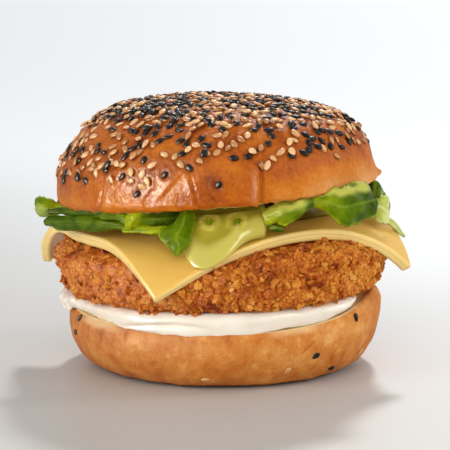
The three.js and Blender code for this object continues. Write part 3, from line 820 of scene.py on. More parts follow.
def makeCheese():
    mesh = runTree(cheeseTree(), "cheese", bpy.data.meshes.new("slab"), {
        "Side": cheese["side"] * mm, "Thickness": cheese["thickness"] * mm,
        "Edge Round": cheese["edgeRound"] * mm, "Turn": math.radians(cheese["turn"] + 45),
        "Buckle Rise": cheese["buckleRise"] * mm, "Buckle Spread": cheese["buckleSpread"] * mm,
        "Finish": cheeseFinish})
    piece = addPiece("cheese", mesh, cheeseFinish)
    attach(piece, "root")
    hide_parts("cheese_slice")


makeCheese()
print("cheese made")


# White sauce: pressed out of the wedge between the bun's cut and the patty, and over the rim in front
whiteSauce = {
    "radius": 51.4, "edgeRise": 1.7, "steps": 640, "roundness": 2.6, "waviness": 0.5, "foldDepth": 0.9,
    # azimuth, spread and mm: outwards, drawn in where the patty bears on the bun, down over the rim
    "swells": [(-86, 15, 2.4), (-52, 13, -1.2), (-18, 26, 0.9), (180, 30, 0.8), (-140, 20, 0.9)],
    "drawnIn": [(108, 46, -6.0)],
    "drapes": [(-88, 14, 2.2), (-16, 30, 1.7), (24, 24, 0.6), (-145, 20, 1.6), (178, 25, 1.5)],
    "whipped": (-82, 26), "fold": (-21, 14),  # azimuth and spread
}


def makeWhiteSauce():
    square = whiteSauce["roundness"]
    side = [(0.93 + 0.07 * (1 - abs(h) ** square) ** (1 / square), h)
            for h in np.sin(np.radians(np.linspace(-90, 90, 400)))]
    side = evenly(side, whiteSauce["radius"], 3.4, 56)
    under = [(s, -1) for s in np.linspace(0.5, 0.92, 10)]
    over = [(s, 1) for s in np.linspace(0.92, 0.5, 8)]
    share, height, angle = roundGrid(under + side + over, whiteSauce["steps"])
    swell = humps(angle, whiteSauce["swells"], 3) + humps(angle, whiteSauce["drawnIn"], 8)
    drape = humps(angle, whiteSauce["drapes"], 4)
    reach = whiteSauce["radius"] + swell + whiteSauce["waviness"] * waver(angle, 0.6)
    x, y = spotAt(angle, share * reach)
    low = heelCut(x, y) + 0.1  # just clear of the bun, and at least 0.3 mm thick
    high = np.maximum(low + 0.3, planeHeight(patty["under"], x, y)) + whiteSauce["edgeRise"]
    low = low - drape * smoothStep(0.955, 0.99, share)
    z = low + (height + 1) / 2 * (high - low)
    points = np.stack([x, y, z], axis=-1)
    edge = smoothStep(0.93, 0.98, share)
    whipped = hump(angle, *whiteSauce["whipped"], 4)
    # soft folds that run round it, and one deeper fold
    along = np.stack([angle * 50, height, 0 * angle], axis=-1)
    folds = 0.35 * np.sin(2.6 * height + 2.2 * relief(along, 16, 47))
    folds = folds + 0.3 * relief(points * [1, 1, 2.2], 8, 8)
    offFold = (height + 0.25 + 0.3 * np.sin(6 * angle)) / 0.2
    fold = np.exp(-offFold ** 2) * hump(angle, *whiteSauce["fold"], 4)
    peaks = whipped * (0.9 * relief(points, 3.6, 9) + 0.4 * relief(points, 1.8, 48))
    stretch = 1 + edge * (folds * (1 - height ** 4) + peaks - whiteSauce["foldDepth"] * fold) / reach
    points[..., :2] *= stretch[..., None]
    flat = points * [1, 1, 0]
    ragged = 0.7 * relief(flat, 7, 10) + 0.35 * relief(flat, 2.6, 49) * (1 + whipped)
    points[..., 2] += edge * ragged * (smoothStep(0, -1, height) + 0.5 * smoothStep(0.2, 1, height))
    mesh = ringMesh("sauce_white", points)
    piece = addPiece("sauce_white", mesh, whiteFinish)
    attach(piece, "root")
    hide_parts("white_sauce")


makeWhiteSauce()
print("white sauce made")


# Yellow sauce: carries the bun top, slopes down outside it, and runs over the cheese in a broad tongue
yellowSauce = {
    "core": 37, "slope": 18, "edge": 3.0, "steps": 560, "lip": 0.9, "bubbleSize": 2.7, "holeSize": 1.5,
    # azimuth and how far out its edge lies
    "reach": [
        (-180, 38), (-165, 43), (-150, 38), (-120, 39), (-100, 44), (-84, 40), (-60, 38), (-30, 39),
        (-21, 41), (-16, 46), (-12.5, 51.5), (-10, 54.2), (-7, 55.6), (-3.5, 55.5), (0.5, 54), (5, 51.2),
        (9, 48.6), (12, 47.6), (16, 47.8), (19, 46.8), (21, 38), (25, 26), (34, 16), (46, 19), (56, 29),
        (67, 34), (77, 37), (88, 41), (96, 42), (108, 38), (130, 41), (150, 46), (160, 44)],
    # azimuth, reach, spread, mm up
    "dents": [(14, 46, 2.6, 0.7), (-8, 49, 3.4, 0.5), (3, 48, 3, -0.5), (-9, 38, 2.6, -2),
              (-2, 38, 2.8, -2.2), (6, 38, 2.8, -2), (13, 38.5, 2.5, -1.4)],
    "bubbles": [(-4.6, 44.8), (6.4, 45)],  # azimuth and reach of burst bubbles round cut herb ends
    "gap": (56, 24),  # azimuth and spread of the gap behind the right-hand leaves, where the sauce gets a painted shade
}


# Bun top: a dome with a turned-in edge, whose sloping cut face lies on the yellow sauce
crown = {
    "middleX": -1.2, "radius": 53.2, "rim": 52.2, "top": 88.6, "lean": -0.008, "widest": (60.5, 0.06, 0),
    "cut": (58, 0.0873, -0.0135), "roundness": 2.55, "waviness": 0.6, "dents": 0.5, "steps": 640,
    # azimuth, spread, height, spread up and down, mm outwards
    "trims": [(-80, 60, 86.5, 2.6, 2.7), (-90, 40, 75, 6, -1.6), (80, 60, 83.5, 5, 2.4),
              (88, 40, 70, 5, -1.0), (88, 30, 61, 4, 1.0), (86.5, 1.6, 64.4, 1.0, 1.6)],
    # azimuth, spread and power, for where the crust is so
    "wrinkled": (-25, 60, 4), "paleSide": (62, 48, 3), "browned": (2, 24, 2), "washed": (-22, 42, 3),
    "seedLine": 70.3, "seedSlope": 6, "denseFrom": 80, "denseTo": 87.5, "bake": 0.76,
}


def makeYellowSauce():
    under = [(s, -1) for s in np.linspace(0.3, 0.92, 14)]
    side = [(0.94 + 0.06 * math.cos(a), math.sin(a)) for a in np.radians(np.linspace(-90, 90, 48))]
    over = [(s, 1) for s in [*np.linspace(0.935, 0.6, 90), *np.linspace(0.58, 0.1, 14)]]
    share, height, angle = roundGrid(under + side + over, yellowSauce["steps"])
    azimuths, reaches = zip(*yellowSauce["reach"])
    reach = np.mean([np.interp(np.degrees(angle) + near, azimuths, reaches, period=360)
                     for near in np.linspace(-2.5, 2.5, 9)], axis=0)
    x, y = spotAt(angle, share * reach)
    low = cheeseTop(x, y) + 0.05  # just clear of the cheese, and of the bun top above
    room = planeHeight(crown["cut"], x, y) - 0.3 - low
    spread = np.hypot(x, y)
    out = smoothStep(yellowSauce["core"] - 3, yellowSauce["core"] + yellowSauce["slope"], spread)
    thickness = room + (yellowSauce["edge"] - room) * out
    # its edge is rolled into a lip where it runs over the cheese
    lip = np.exp(-((reach * (1 - share) - 3) / 2.2) ** 2) * smoothStep(43, 49, spread)
    thickness = thickness + yellowSauce["lip"] * lip * (height > 0)
    for azimuth, place, wide, up in yellowSauce["dents"]:
        thickness = thickness + up * np.exp(-(awayFrom(x, y, azimuth, place) / wide) ** 2)
    bubble, hole = yellowSauce["bubbleSize"], yellowSauce["holeSize"]
    for azimuth, place in yellowSauce["bubbles"]:
        away = awayFrom(x, y, azimuth, place)
        rough = 1 + 0.9 * relief(np.stack([x, y, 0 * x + azimuth], axis=-1), 1.3, 55)
        swollen = 1.3 * np.exp(-(away / bubble) ** 2) - 1.6 * np.exp(-(away / hole) ** 2)
        thickness = thickness + rough * swollen
    z = low + (height + 1) / 2 * thickness
    points = np.stack([x, y, z], axis=-1)
    outside = smoothStep(0.6, 0.85, share) * (height > -0.9)
    points[..., 2] += outside * (0.5 * relief(points, 8, 11) + 0.14 * relief(points, 3, 12))
    wall = smoothStep(0.9, 0.95, share) * smoothStep(5, 8, thickness)
    bulge = wall * (1.6 * relief(points * [1, 1, 0.6], 9, 52) + 0.5 * relief(points, 4, 53))
    points[..., :2] *= (1 + bulge / reach)[..., None]
    mesh = ringMesh("sauce_yellow", points)
    # paler where it thins at that edge, with a painted highlight along that lip and a ring of painted
    # highlight round each bubble
    paleLipAndHighlight = smoothStep(5.5, 1.5, reach * (1 - share)) * smoothStep(44, 49, spread)
    for azimuth, place in yellowSauce["bubbles"]:
        away = awayFrom(x, y, azimuth, place)
        ring = np.exp(-((away - bubble) / 0.8) ** 2) * (0.8 + relief(points, 1.2, 56))
        paleLipAndHighlight = np.maximum(paleLipAndHighlight, np.clip(ring, 0, 1) * (height > -0.9))
    setAttribute(mesh, "rim", onPoints(paleLipAndHighlight))
    # painted shade in the gap behind the right-hand leaves, under the bun
    deep = smoothStep(39, 33, spread) * hump(angle, *yellowSauce["gap"], 4)
    setAttribute(mesh, "deep", onPoints(deep))
    piece = addPiece("sauce_yellow", mesh, mustardFinish)
    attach(piece, "root")
    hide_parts("yellow_sauce")
    return piece


yellow = makeYellowSauce()


# cut herb ends in the burst bubbles: rough little stars
herbEnds = {"corners": 14, "layers": [(-0.3, 0.9), (0.3, 1.5), (0.6, 1.0)]}  # lift and half width


def makeHerbEnds():
    bpy.context.view_layer.update()
    points, faces = [], []
    corners = herbEnds["corners"]
    for number, (azimuth, place) in enumerate(yellowSauce["bubbles"]):
        above = Vector((*spotAt(math.radians(azimuth), place), 80)) * mm
        spot, facing = yellow.ray_cast(above, Vector((0, 0, -1)))[1:3]
        lie = facing.to_track_quat("Z", "Y").to_matrix()
        first = len(points)
        for lift, wide in herbEnds["layers"]:
            for j in range(corners):
                out = wide * (1.1 if j % 2 else 0.7) * (1 + 0.6 * noise.noise(Vector((j, number * 9, 1))))
                turn = math.tau * j / corners
                points.append(spot + lie @ Vector((out * math.cos(turn), out * math.sin(turn), lift)) * mm)
        faces.append([first + corners - 1 - j for j in range(corners)])
        faces.append([first + 2 * corners + j for j in range(corners)])
        for j in range(2 * corners):
            a, b = first + j, first + j // corners * corners + (j + 1) % corners
            faces.append((a, b, b + corners, a + corners))
    mesh = bpy.data.meshes.new("herb_ends")
    mesh.from_pydata(points, [], faces)
    topmost = [i // corners % 3 == 2 for i in range(len(points))]
    setAttribute(mesh, "light", [0.85 if top else 0.35 for top in topmost])
    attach(addPiece("herb_ends", mesh, leafFinish), "root")


makeHerbEnds()
print("yellow sauce made")


# Leaves: rows of three points from one end to the other, one at each edge and one on the rib. "light" is
# how bright the green is at both ends, "turned" the part across that shows its pale underside, "dressed"
# the place, width and strength of the sauce on it, from -1 at one edge to 1 at the other
leaves = {
    "leaf_left_end": {"rows": [
        [(-50.5, -5, 53.5), (-50.5, -6, 52.5), (-50.5, -5, 51)],
        [(-54.7, -3, 54.2), (-54.7, -5, 52.2), (-54.5, -4, 50)],
        [(-58, -3, 55.6), (-58, -6, 52.8), (-58, -3, 49.3)],
        [(-60.6, -2, 56.2), (-61, -4.5, 53), (-60.5, -2, 49.6)],
        [(-61.6, 0, 55), (-61.6, -1.5, 52.5), (-61.3, 0, 50.8)]],
        "light": (1.0, 0.6), "turned": (0.05, 1.0), "ripple": 0.35},
    "leaf_left_rim": {"rows": [
        [(-58, -8, 49), (-58.5, -9, 48.5), (-57.5, -8, 47)],
        [(-55.5, -10, 50.5), (-55.5, -13, 49), (-54.5, -12, 46.5)],
        [(-47, -19, 52), (-46.5, -22, 50), (-46.5, -21, 47)],
        [(-38.5, -28, 53), (-38, -31, 51), (-38, -30, 48.5)],
        [(-30, -36, 52), (-30, -38, 51), (-30, -38, 50)],
        [(-24.5, -41, 51.5), (-24.5, -42, 51), (-24.5, -42, 50)]],
        "light": (0.3, 0.6), "ripple": 0.35, "ribbed": 0.2},
    "leaf_left_upper": {"rows": [
        [(-57, -9.5, 52.8), (-57, -10.5, 52), (-56.5, -9.5, 51)],
        [(-52, -14, 53.8), (-51.5, -15, 52.5), (-51, -14, 51.5)],
        [(-43.5, -24, 55), (-43, -26, 54), (-43, -25, 52.5)],
        [(-36.5, -33, 56), (-36, -35, 55), (-36.5, -34, 53)],
        [(-30.5, -39, 56), (-31, -41, 54.5), (-32, -40, 53)],
        [(-27.5, -41, 55), (-28.5, -42, 53.5), (-29.5, -42, 52.5)]],
        "light": (0.1, 0.7), "ripple": 0.3, "ribbed": 0.4},
    "leaf_front_flat": {"rows": [
        [(-31, -39, 51.5), (-31, -41, 50.5), (-30.5, -41, 49.5)],
        [(-26, -42, 52), (-25.5, -44.5, 51), (-25.5, -45, 50)],
        [(-21.5, -43, 52), (-21, -46, 51.5), (-20.5, -46.5, 50)],
        [(-17, -43, 52), (-16.5, -45, 51.5), (-16.5, -46, 51)]],
        "light": (0.9, 1.0), "ripple": 0.2},
    "leaf_front_crumpled": {"rows": [
        [(-29.5, -40, 56), (-30, -43, 53.5), (-29, -43, 50.5)],
        [(-25.5, -42, 56.5), (-27, -46.5, 54.5), (-27.5, -44, 51)],
        [(-22.5, -41, 56), (-24, -43, 54), (-25, -42, 51.5)],
        [(-18.5, -41, 56), (-19, -43.5, 54), (-19.5, -43, 51.5)],
        [(-12.5, -40, 56), (-13.5, -42, 54.5), (-15, -43, 52)]],
        "light": (1.3, 0.1), "dressed": (-0.9, 0.6, 0.5), "ripple": 0.5},
    "leaf_front_hanging": {"rows": [
        [(-12.5, -43, 58), (-11, -44, 58.5), (-9, -43, 58)],
        [(-14.5, -45.5, 53.5), (-11.5, -48, 54), (-7.5, -45, 54.5)],
        [(-19.5, -47, 50), (-13.5, -51, 50), (-9, -49.5, 50.5)],
        [(-17, -50.5, 47), (-13, -53, 47), (-9.5, -51.5, 47.5)],
        [(-13.5, -52, 44.5), (-13, -53, 44), (-11.5, -52, 45.5)]],
        "light": (0.45, 0.75), "ripple": 0.35},
    "leaf_right_curl": {"rows": [
        [(13, -42, 57.5), (13, -45, 55), (14.5, -44, 52.5)],
        [(16.5, -43, 58.5), (17.5, -47, 56), (17.5, -45.5, 52.6)],
        [(20.5, -43, 60), (21, -48, 57.5), (21, -46.5, 53.2)],
        [(24.5, -42, 60.8), (25.2, -47, 58.8), (25, -46, 55.3)],
        [(28.5, -41, 61), (29, -44, 60), (29, -43.5, 58)]],
        "light": (1.2, 0.3), "dressed": (-0.45, 0.75, 1.0), "ripple": 0.6},
    "leaf_right_low": {"rows": [
        [(14.5, -43.5, 52), (15, -44.5, 51.5), (15.5, -44, 50.5)],
        [(16.5, -45, 52.5), (17, -46.5, 52), (17, -46, 50.5)],
        [(19.5, -45, 52), (19.5, -46, 51.5), (19.5, -45.5, 50.5)]],
        "light": (0.1, 0.3), "ripple": 0.1},
    "leaf_right_round": {"rows": [
        [(27.5, -41, 61), (28, -42.5, 59.8), (28.5, -42, 58.3)],
        [(33.6, -40, 62.2), (33.8, -43, 59.2), (33.8, -42, 55.4)],
        [(37.2, -39, 63.8), (37.9, -43.5, 58), (38, -42, 52)],
        [(40.6, -37, 64.8), (41.7, -42, 58.5), (42.4, -40, 51.8)],
        [(45.2, -34, 64.6), (46.4, -37.5, 59), (47, -36.5, 53.6)],
        [(48.4, -31, 61), (49.4, -33, 59), (49.2, -32, 56.2)]],
        "light": (0.9, 0.15), "dressed": (-0.7, 0.26, 1.3), "ripple": 0.6},
    "leaf_right_tip": {"rows": [
        [(48.5, -13, 57.5), (50, -14, 57), (52, -13, 57)],
        [(48, -13, 60), (50, -15.5, 60.5), (52.5, -13, 59.5)],
        [(49, -14, 62.5), (50, -15, 63), (51.5, -14, 62)]],
        "light": (0.3, 0.4), "ripple": 0.1},
    "leaf_right_pale": {"rows": [
        [(50, -14, 57.5), (49, -15, 54.5), (48, -15, 52)],
        [(53.5, -10, 57.5), (52, -14, 54), (50, -15, 50)],
        [(55.5, -8, 55.5), (54, -12, 52.5), (53, -14, 48.5)],
        [(55.5, -7, 52), (55.5, -8, 50), (55.5, -10, 48)]],
        "light": (0.3, 0.9), "ripple": 0.5},
    "leaf_right_rib": {"rows": [
        [(50, -8, 51.5), (49.5, -9, 51), (49, -8, 50)],
        [(54, -5, 50), (53.5, -6.5, 49.5), (53.5, -5, 48)],
        [(58, -3, 47.5), (57, -4.5, 46.5), (57, -3, 45.5)],
        [(60.5, -2, 44), (60, -3, 43.5), (59.5, -2, 43)],
        [(61.5, -1.5, 42.5), (61, -2, 42), (61, -1.5, 42)]],
        "light": (1.0, 0.1), "ripple": 0.1},
    "leaf_back_right": {"rows": [
        [(51.5, -6, 54.8), (53, -5.5, 54), (52.5, -6, 53.2)],
        [(50.5, 3, 60), (55, 3.5, 55.5), (55, 3, 50.5)],
        [(48, 13, 61.5), (53.5, 14, 56), (55, 16, 49.5)],
        [(43.5, 23, 60.5), (49, 25.5, 55.5), (50.5, 27, 49.5)],
        [(39.5, 32.5, 55.8), (41, 33.5, 55), (41, 34.3, 54)]],
        "light": (0.35, 0.7), "dressed": (-0.5, 0.4, 0.7), "ripple": 1.3, "ribbed": 0.5},
    "leaf_back_middle": {"rows": [
        [(36.2, 37, 54.6), (37, 38, 54), (36.4, 38, 53.2)],
        [(30, 41.5, 58.5), (32, 45, 54.5), (33, 46, 49.5)],
        [(22, 46, 59.5), (24, 51, 54), (25, 53.5, 47)],
        [(13, 49, 58.5), (14, 54, 53.5), (14, 56.5, 47.5)],
        [(4.5, 51, 53.4), (5, 52, 52.5), (4.5, 52.5, 51.6)]],
        "light": (0.25, 0.6), "dressed": (-0.6, 0.5, 0.8), "ripple": 1.4, "ribbed": 0.4},
    "leaf_back_left": {"rows": [
        [(-0.5, 51, 53), (-1, 51.5, 52), (-1, 51.5, 51)],
        [(-8, 48.5, 56.5), (-9, 53, 52.5), (-9.5, 54, 48)],
        [(-17, 46, 56.5), (-19, 50.5, 52), (-20.5, 51.5, 47)],
        [(-26, 41, 55.5), (-29, 45.5, 51.5), (-30.5, 47, 47.5)],
        [(-35.5, 37.5, 52), (-36.5, 38.5, 51), (-37, 39, 50.2)]],
        "light": (0.6, 0.2), "ripple": 1.3, "ribbed": 0.5},
    "leaf_back_end": {"rows": [
        [(-38.5, 35.5, 51.4), (-39, 36, 50.6), (-39, 36, 49.8)],
        [(-43.5, 27.5, 54.5), (-47, 30, 50.5), (-48.5, 30, 46.5)],
        [(-48.5, 18.5, 55), (-53, 20.5, 51), (-55, 20.5, 47)],
        [(-51.5, 9, 54.5), (-55.5, 10, 51.5), (-57, 10, 48)],
        [(-54.4, 1.5, 51.9), (-55, 2, 51.1), (-55, 2, 50.4)]],
        "light": (0.6, 0.3), "dressed": (-0.7, 0.4, 0.6), "ripple": 1.1, "ribbed": 0.5},
}
leafMake = {
    "along": 72, "over": 30, "thickness": 0.6, "ribWidth": 0.4, "ribDepth": 0.25, "veinGap": 3.6,
    "veinWidth": 0.2, "veinDepth": 0.17, "sauceDepth": 0.35, "weld": 0.002,
}
paleLeaves = ("leaf_right_pale", "leaf_right_rib")


# a smooth line through the points, at shares from 0 to 1
def throughPoints(given, shares):
    ends = np.array(given, dtype=float)
    ends = np.vstack([2 * ends[0] - ends[1], ends, 2 * ends[-1] - ends[-2]])
    place = np.clip(shares, 0, 1) * (len(given) - 1)
    i = np.minimum(place.astype(int), len(given) - 2)
    t = (place - i)[..., None]
    a, b, c, d = ends[i], ends[i + 1], ends[i + 2], ends[i + 3]
    return 0.5 * (2 * b + (c - a) * t + (2 * a - 5 * b + 4 * c - d) * t ** 2
                  + (3 * b - a - 3 * c + d) * t ** 3)


def makeLeaf(name, rows, light, ripple, seed, turned=None, dressed=(0, 1, 0), ribbed=1.0):
    along, over = np.meshgrid(np.linspace(0, 1, leafMake["along"]), np.linspace(-1, 1, leafMake["over"]),
                              indexing="ij")
    over = over * (1 + ripple * (0.1 * np.sin(19 * along + seed) + 0.06 * np.sin(43 * along + 2 * seed)))
    one, rib, other = [throughPoints([row[j] for row in rows], along) for j in range(3)]
    v = over[..., None]
    middle = one * (v * v - v) / 2 + rib * (1 - v * v) + other * (v * v + v) / 2
    normal = np.cross(np.gradient(middle, axis=0), np.gradient(middle, axis=1))
    normal /= np.maximum(1e-9, np.linalg.norm(normal, axis=-1, keepdims=True))
    # the upper face looks outwards and up
    outside = middle.mean(axis=(0, 1)) * [0.02, 0.02, 0] + [0, 0, 0.5]
    if (normal.mean(axis=(0, 1)) @ outside) < 0:
        normal = -normal
    half = np.linalg.norm(other - one, axis=-1) / 2
    wide = over * half
    length = np.linalg.norm(np.diff([row[1] for row in rows], axis=0), axis=1).sum()
    place, spread, strength = dressed
    sauce = np.exp(-((over - place) / spread) ** 2) * (0.7 + 0.6 * relief(middle, 2.6, seed))
    sauce = 0.85 * smoothStep(0.1, 0.95, strength * sauce * smoothStep(1, 0.75, along))
    waves = 4 + 0.35 * length
    lift = ripple * (np.sin(waves * along + 2.5 * over) * np.abs(over) + 0.8 * relief(middle, 3.5, seed + 60))
    lift += 0.25 * ripple * np.sin(31 * along + 4 * over + seed) * np.abs(over) ** 2
    lift += leafMake["sauceDepth"] * sauce
    # side veins that slant away from the rib
    vein = ((along * length - np.abs(wide) * 0.9) / leafMake["veinGap"]) % 1
    offVein = np.abs(vein - 0.5) * leafMake["veinGap"]
    veinLine = np.exp(-(offVein / leafMake["veinWidth"]) ** 2) * (1 - np.abs(over / 1.08) ** 3)
    ribLine = np.exp(-(wide / leafMake["ribWidth"]) ** 2) * (1 - 0.6 * along)
    groove = (leafMake["ribDepth"] * ribLine + leafMake["veinDepth"] * veinLine) * (1 - sauce)
    # thinner towards the edges and the ends, where the two faces meet
    edge = np.clip(1 - np.abs(np.linspace(-1, 1, leafMake["over"]))[None] ** 4, 0, 1)
    ends = np.clip(np.minimum(along, 1 - along) / 0.02, 0, 1)
    thick = leafMake["thickness"] / 2 * np.sqrt(edge) * np.sqrt(ends)
    middle = middle + normal * lift[..., None]
    top = middle + normal * (thick - groove * (thick > 0.05))[..., None]
    low = middle - normal * (thick + 0.6 * groove * (thick > 0.05))[..., None]
    count = along.size
    rows, columns = along.shape
    points = np.vstack([top.reshape(-1, 3), low.reshape(-1, 3)])
    faces = []
    for i in range(rows - 1):
        for j in range(columns - 1):
            a, b = i * columns + j, i * columns + j + 1
            c, d = a + columns, b + columns
            faces.append((a, c, d, b))
            faces.append((count + a, count + b, count + d, count + c))
    mesh = bpy.data.meshes.new(name)
    mesh.from_pydata((points * mm).tolist(), [], faces)
    mesh.polygons.foreach_set("use_smooth", [True] * len(faces))
    pale = np.clip(0.6 * ribbed * ribLine + 0.14 * veinLine, 0, 1)
    under = np.zeros(along.shape)
    if turned:
        start, end = turned
        under = smoothStep(start - 0.08, start + 0.08, over) * smoothStep(end + 0.08, end, over)
    # each leaf's green from end to end, and a painted light towards its edges where the thin blade catches
    # the light
    green = light[0] + (light[1] - light[0]) * along + 0.35 * smoothStep(0.78, 1, np.abs(over))
    # for the upper and the lower face
    marks = {"vein": (pale, pale), "under": (under, np.ones(under.shape)), "sauce": (sauce, sauce),
             "light": (green, green)}
    for mark, (above, below) in marks.items():
        setAttribute(mesh, mark, np.concatenate([above.ravel(), below.ravel()]))
    work = bmesh.new()
    work.from_mesh(mesh)
    bmesh.ops.remove_doubles(work, verts=work.verts, dist=leafMake["weld"] * mm)
    bmesh.ops.recalc_face_normals(work, faces=work.faces)
    work.to_mesh(mesh)
    work.free()
    piece = addPiece("salad_" + name[5:], mesh, paleLeafFinish if name in paleLeaves else leafFinish)
    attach(piece, "root")
    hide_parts(name)


for number, (name, facts) in enumerate(leaves.items()):
    makeLeaf(name, seed=number + 20, **facts)
print("leaves made")


# folds where the bun top's crust rucked up
creases = [  # azimuth, lowest, highest, lean in mm per mm, ridge height, width
    (14, 56, 70.5, 0.05, 1.5, 1.1), (-7.5, 58, 67.5, -0.3, 0.45, 0.9), (-15, 63, 69, 0.9, 0.28, 1.3),
    (-26, 57, 62, -0.5, 0.3, 1.8), (-33, 61, 66, 0.6, 0.16, 1.4), (-45, 55, 61, 0.35, 0.25, 1.2),
]


# height codes: 0 is the cut, 1 the widest, 2 the top
def makeCrown():
    rim = crown["rim"] / crown["radius"] - 0.02
    power = 2 / crown["roundness"]
    under = [(s, 0) for s in np.linspace(0.03, rim - 0.005, 24)]
    edge = [(rim + (1 - rim) * math.sin(a), 1 - math.cos(a)) for a in arc(14)]
    dome = [(math.cos(a) ** power, 1 + math.sin(a) ** power) for a in arc(104)[1:-1]]
    share, code, angle = roundGrid(under + edge + dome, crown["steps"])
    reach = share * (crown["radius"] + crown["waviness"] * waver(angle, 0.3))
    x, y = spotAt(angle, reach, crown["middleX"])
    low, waist = planeHeight(crown["cut"], x, y), planeHeight(crown["widest"], x, y)
    peak = crown["top"] + crown["lean"] * x
    dent = crown["dents"] * waver(angle, 5.2) * share * (2 - code)
    z = np.where(code <= 1, low + code * (waist - low), waist + (code - 1) * (peak - waist) + dent)
    mesh = ringMesh("bread_top", np.stack([x, y, z], axis=-1))
    points, normals = meshPoints(mesh), meshNormals(mesh)
    codes, angles, shares = onPoints(code, 0, 2), onPoints(angle), onPoints(share)
    crust = smoothStep(0.02, 0.3, codes)
    up = points[:, 2]
    move = crust * (0.5 * relief(points, 16, 14) + 0.1 * relief(points, 3.6, 15))
    lower = smoothStep(74, 64, up) * hump(angles, *crown["wrinkled"])
    move += lower * crust * (0.34 * relief(points * [1, 1, 0.6], 6, 16) + 0.05 * relief(points, 2.4, 17)
                             + 0.015 * relief(points, 1.1, 54))
    for azimuth, bottom, top, lean, high, wide in creases:
        across = crown["radius"] * turnFrom(angles, azimuth) - lean * (up - (bottom + top) / 2)
        window = smoothStep(bottom - 3, bottom, up) * smoothStep(top + 3, top - 1, up)
        shape = np.exp(-(across / (1.9 * wide)) ** 2) * smoothStep(0.45 * wide, -0.35 * wide, across)
        shape = shape - 0.45 * np.exp(-((across - 0.7 * wide) / (0.6 * wide)) ** 2)
        move += crust * window * high * shape
    points = points + normals * move[:, None]
    up = points[:, 2]
    for azimuth, spread, height, tall, outwards in crown["trims"]:
        amount = outwards * hump(angles, azimuth, spread) * np.exp(-((up - height) / tall) ** 2)
        points[:, :2] += np.stack(spotAt(angles, amount), axis=-1)
    ragged = smoothStep(0.6, 0.0, codes) * smoothStep(0.9, 0.96, shares)
    points[:, 2] += ragged * 0.7 * relief(points * [1, 1, 0], 2.6, 18)
    movePoints(mesh, points)
    # seeds lie above a line that is higher on the right, and thickly near the top
    limit = crown["seedLine"] + crown["seedSlope"] * np.sin(angles - 0.1)
    band = smoothStep(limit - 5, limit + 4, up)
    dense = smoothStep(crown["denseFrom"], crown["denseTo"], up)
    cover = 0.62 * band + 0.8 * dense + 0.012 * smoothStep(60, 63, up)
    setAttribute(mesh, "cover", np.clip(cover, 0, 1))
    paleSide = hump(angles, *crown["paleSide"]) * smoothStep(73, 62, up)
    bake = crown["bake"] - 0.46 * paleSide - 0.12 * smoothStep(62, 57, up) + 0.08 * dense
    bake += 0.12 * hump(angles, *crown["browned"]) * smoothStep(72, 64, up)
    setAttribute(mesh, "bake", np.clip(bake, 0, 1))
    setAttribute(mesh, "cut", smoothStep(0.07, 0.01, codes))
    setAttribute(mesh, "dip", np.zeros(len(points)))
    washed = hump(angles, *crown["washed"]) * smoothStep(74, 66, up) * (0.75 + 0.5 * relief(points, 9, 19))
    setAttribute(mesh, "wash", np.clip(0.25 + 0.85 * washed - 0.5 * paleSide, 0, 1))
    piece = addPiece("bread_top", mesh, crustFinish)
    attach(piece, "root")
    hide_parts("bun_top")
    return piece


breadTop = makeCrown()
print("bun top made")


# Sesame: teardrops about 3.3 by 2.1 by 1.1 mm, thick on top and sparse down the sides
sesame = {
    "perSquareMetre": 270000.0, "piled": 160000.0, "spacing": 2.45, "lift": 0.1, "pileLift": 0.8,
    "smallest": 0.94, "largest": 1.18, "blackShare": 0.46, "shortest": 2.9, "longer": 0.2, "around": 8,
    "rings": [(-0.41, 0.42, 0.24), (-0.16, 0.9, 0.44), (0.15, 1.0, 0.5), (0.4, 0.62, 0.32)],
    # "browned" is how dark the ring round each seed is: partly browned wash, partly painted shade
    "sunk": 0.22, "swollen": 0.12, "browned": 0.45,
}


def makeSeeds():
    seeds = [lump(f"seed{i}", sesame["shortest"] + sesame["longer"] * i, sesame["rings"], sesame["around"],
                  wobble=0.12, seed=i) for i in range(3)]
    common = {
        "Shapes": shapeSet("sesame", seeds, True), "Per Square Metre": sesame["perSquareMetre"],
        "Piled Per Square Metre": sesame["piled"], "Spacing": sesame["spacing"] * mm,
        "Lift": sesame["lift"] * mm, "Pile Lift": sesame["pileLift"] * mm, "Smallest": sesame["smallest"],
        "Largest": sesame["largest"], "Tilt": 0.25, "Tone From": -0.1, "Tone To": 0.8, "Seed": 4, **everyKind}
    black = {"Finish": blackSeedFinish, "Kind To": sesame["blackShare"]}
    white = {"Finish": whiteSeedFinish, "Kind From": sesame["blackShare"]}
    return (scatterOn(breadTop, "sesame_black", {**common, **black}),
            scatterOn(breadTop, "sesame_white", {**common, **white}))


blackSeeds, whiteSeeds = makeSeeds()


# seeds that fell on the bun bottom: azimuth, height and turn of each
strays = {
    blackSeeds: [(-64.4, 18.7, 50), (-69.3, 13.3, 10), (55.2, 20.3, 85), (34.8, 10.5, 30), (46, 4.7, 10)],
    whiteSeeds: [(-6.6, 4.2, 5), (24.3, 6.5, 60), (64, 7.6, 40)],
}


def addStrays(seed):
    bpy.context.view_layer.update()
    for piece, places in strays.items():
        work = bmesh.new()
        work.from_mesh(piece.data)
        tones = work.verts.layers.float["tone"]
        for azimuth, height, turn in places:
            outward = Vector((*spotAt(math.radians(azimuth), 1), 0))
            start = Vector((heel["middleX"], 0, height)) * mm + outward * 0.08  # clear of the bun
            spot, facing = breadBottom.ray_cast(start, -outward)[1:3]
            lie = facing.to_track_quat("Z", "Y").to_matrix() @ Matrix.Rotation(math.radians(turn), 3, "Z")
            corners = [work.verts.new(lie @ v.co + spot + facing * 0.2 * mm) for v in seed.vertices]
            for corner in corners:
                corner[tones] = 0.5  # neither pale nor dark
            for face in seed.polygons:
                work.faces.new([corners[i] for i in face.vertices]).smooth = True
        work.to_mesh(piece.data)
        work.free()


addStrays(bpy.data.meshes["seed0"])
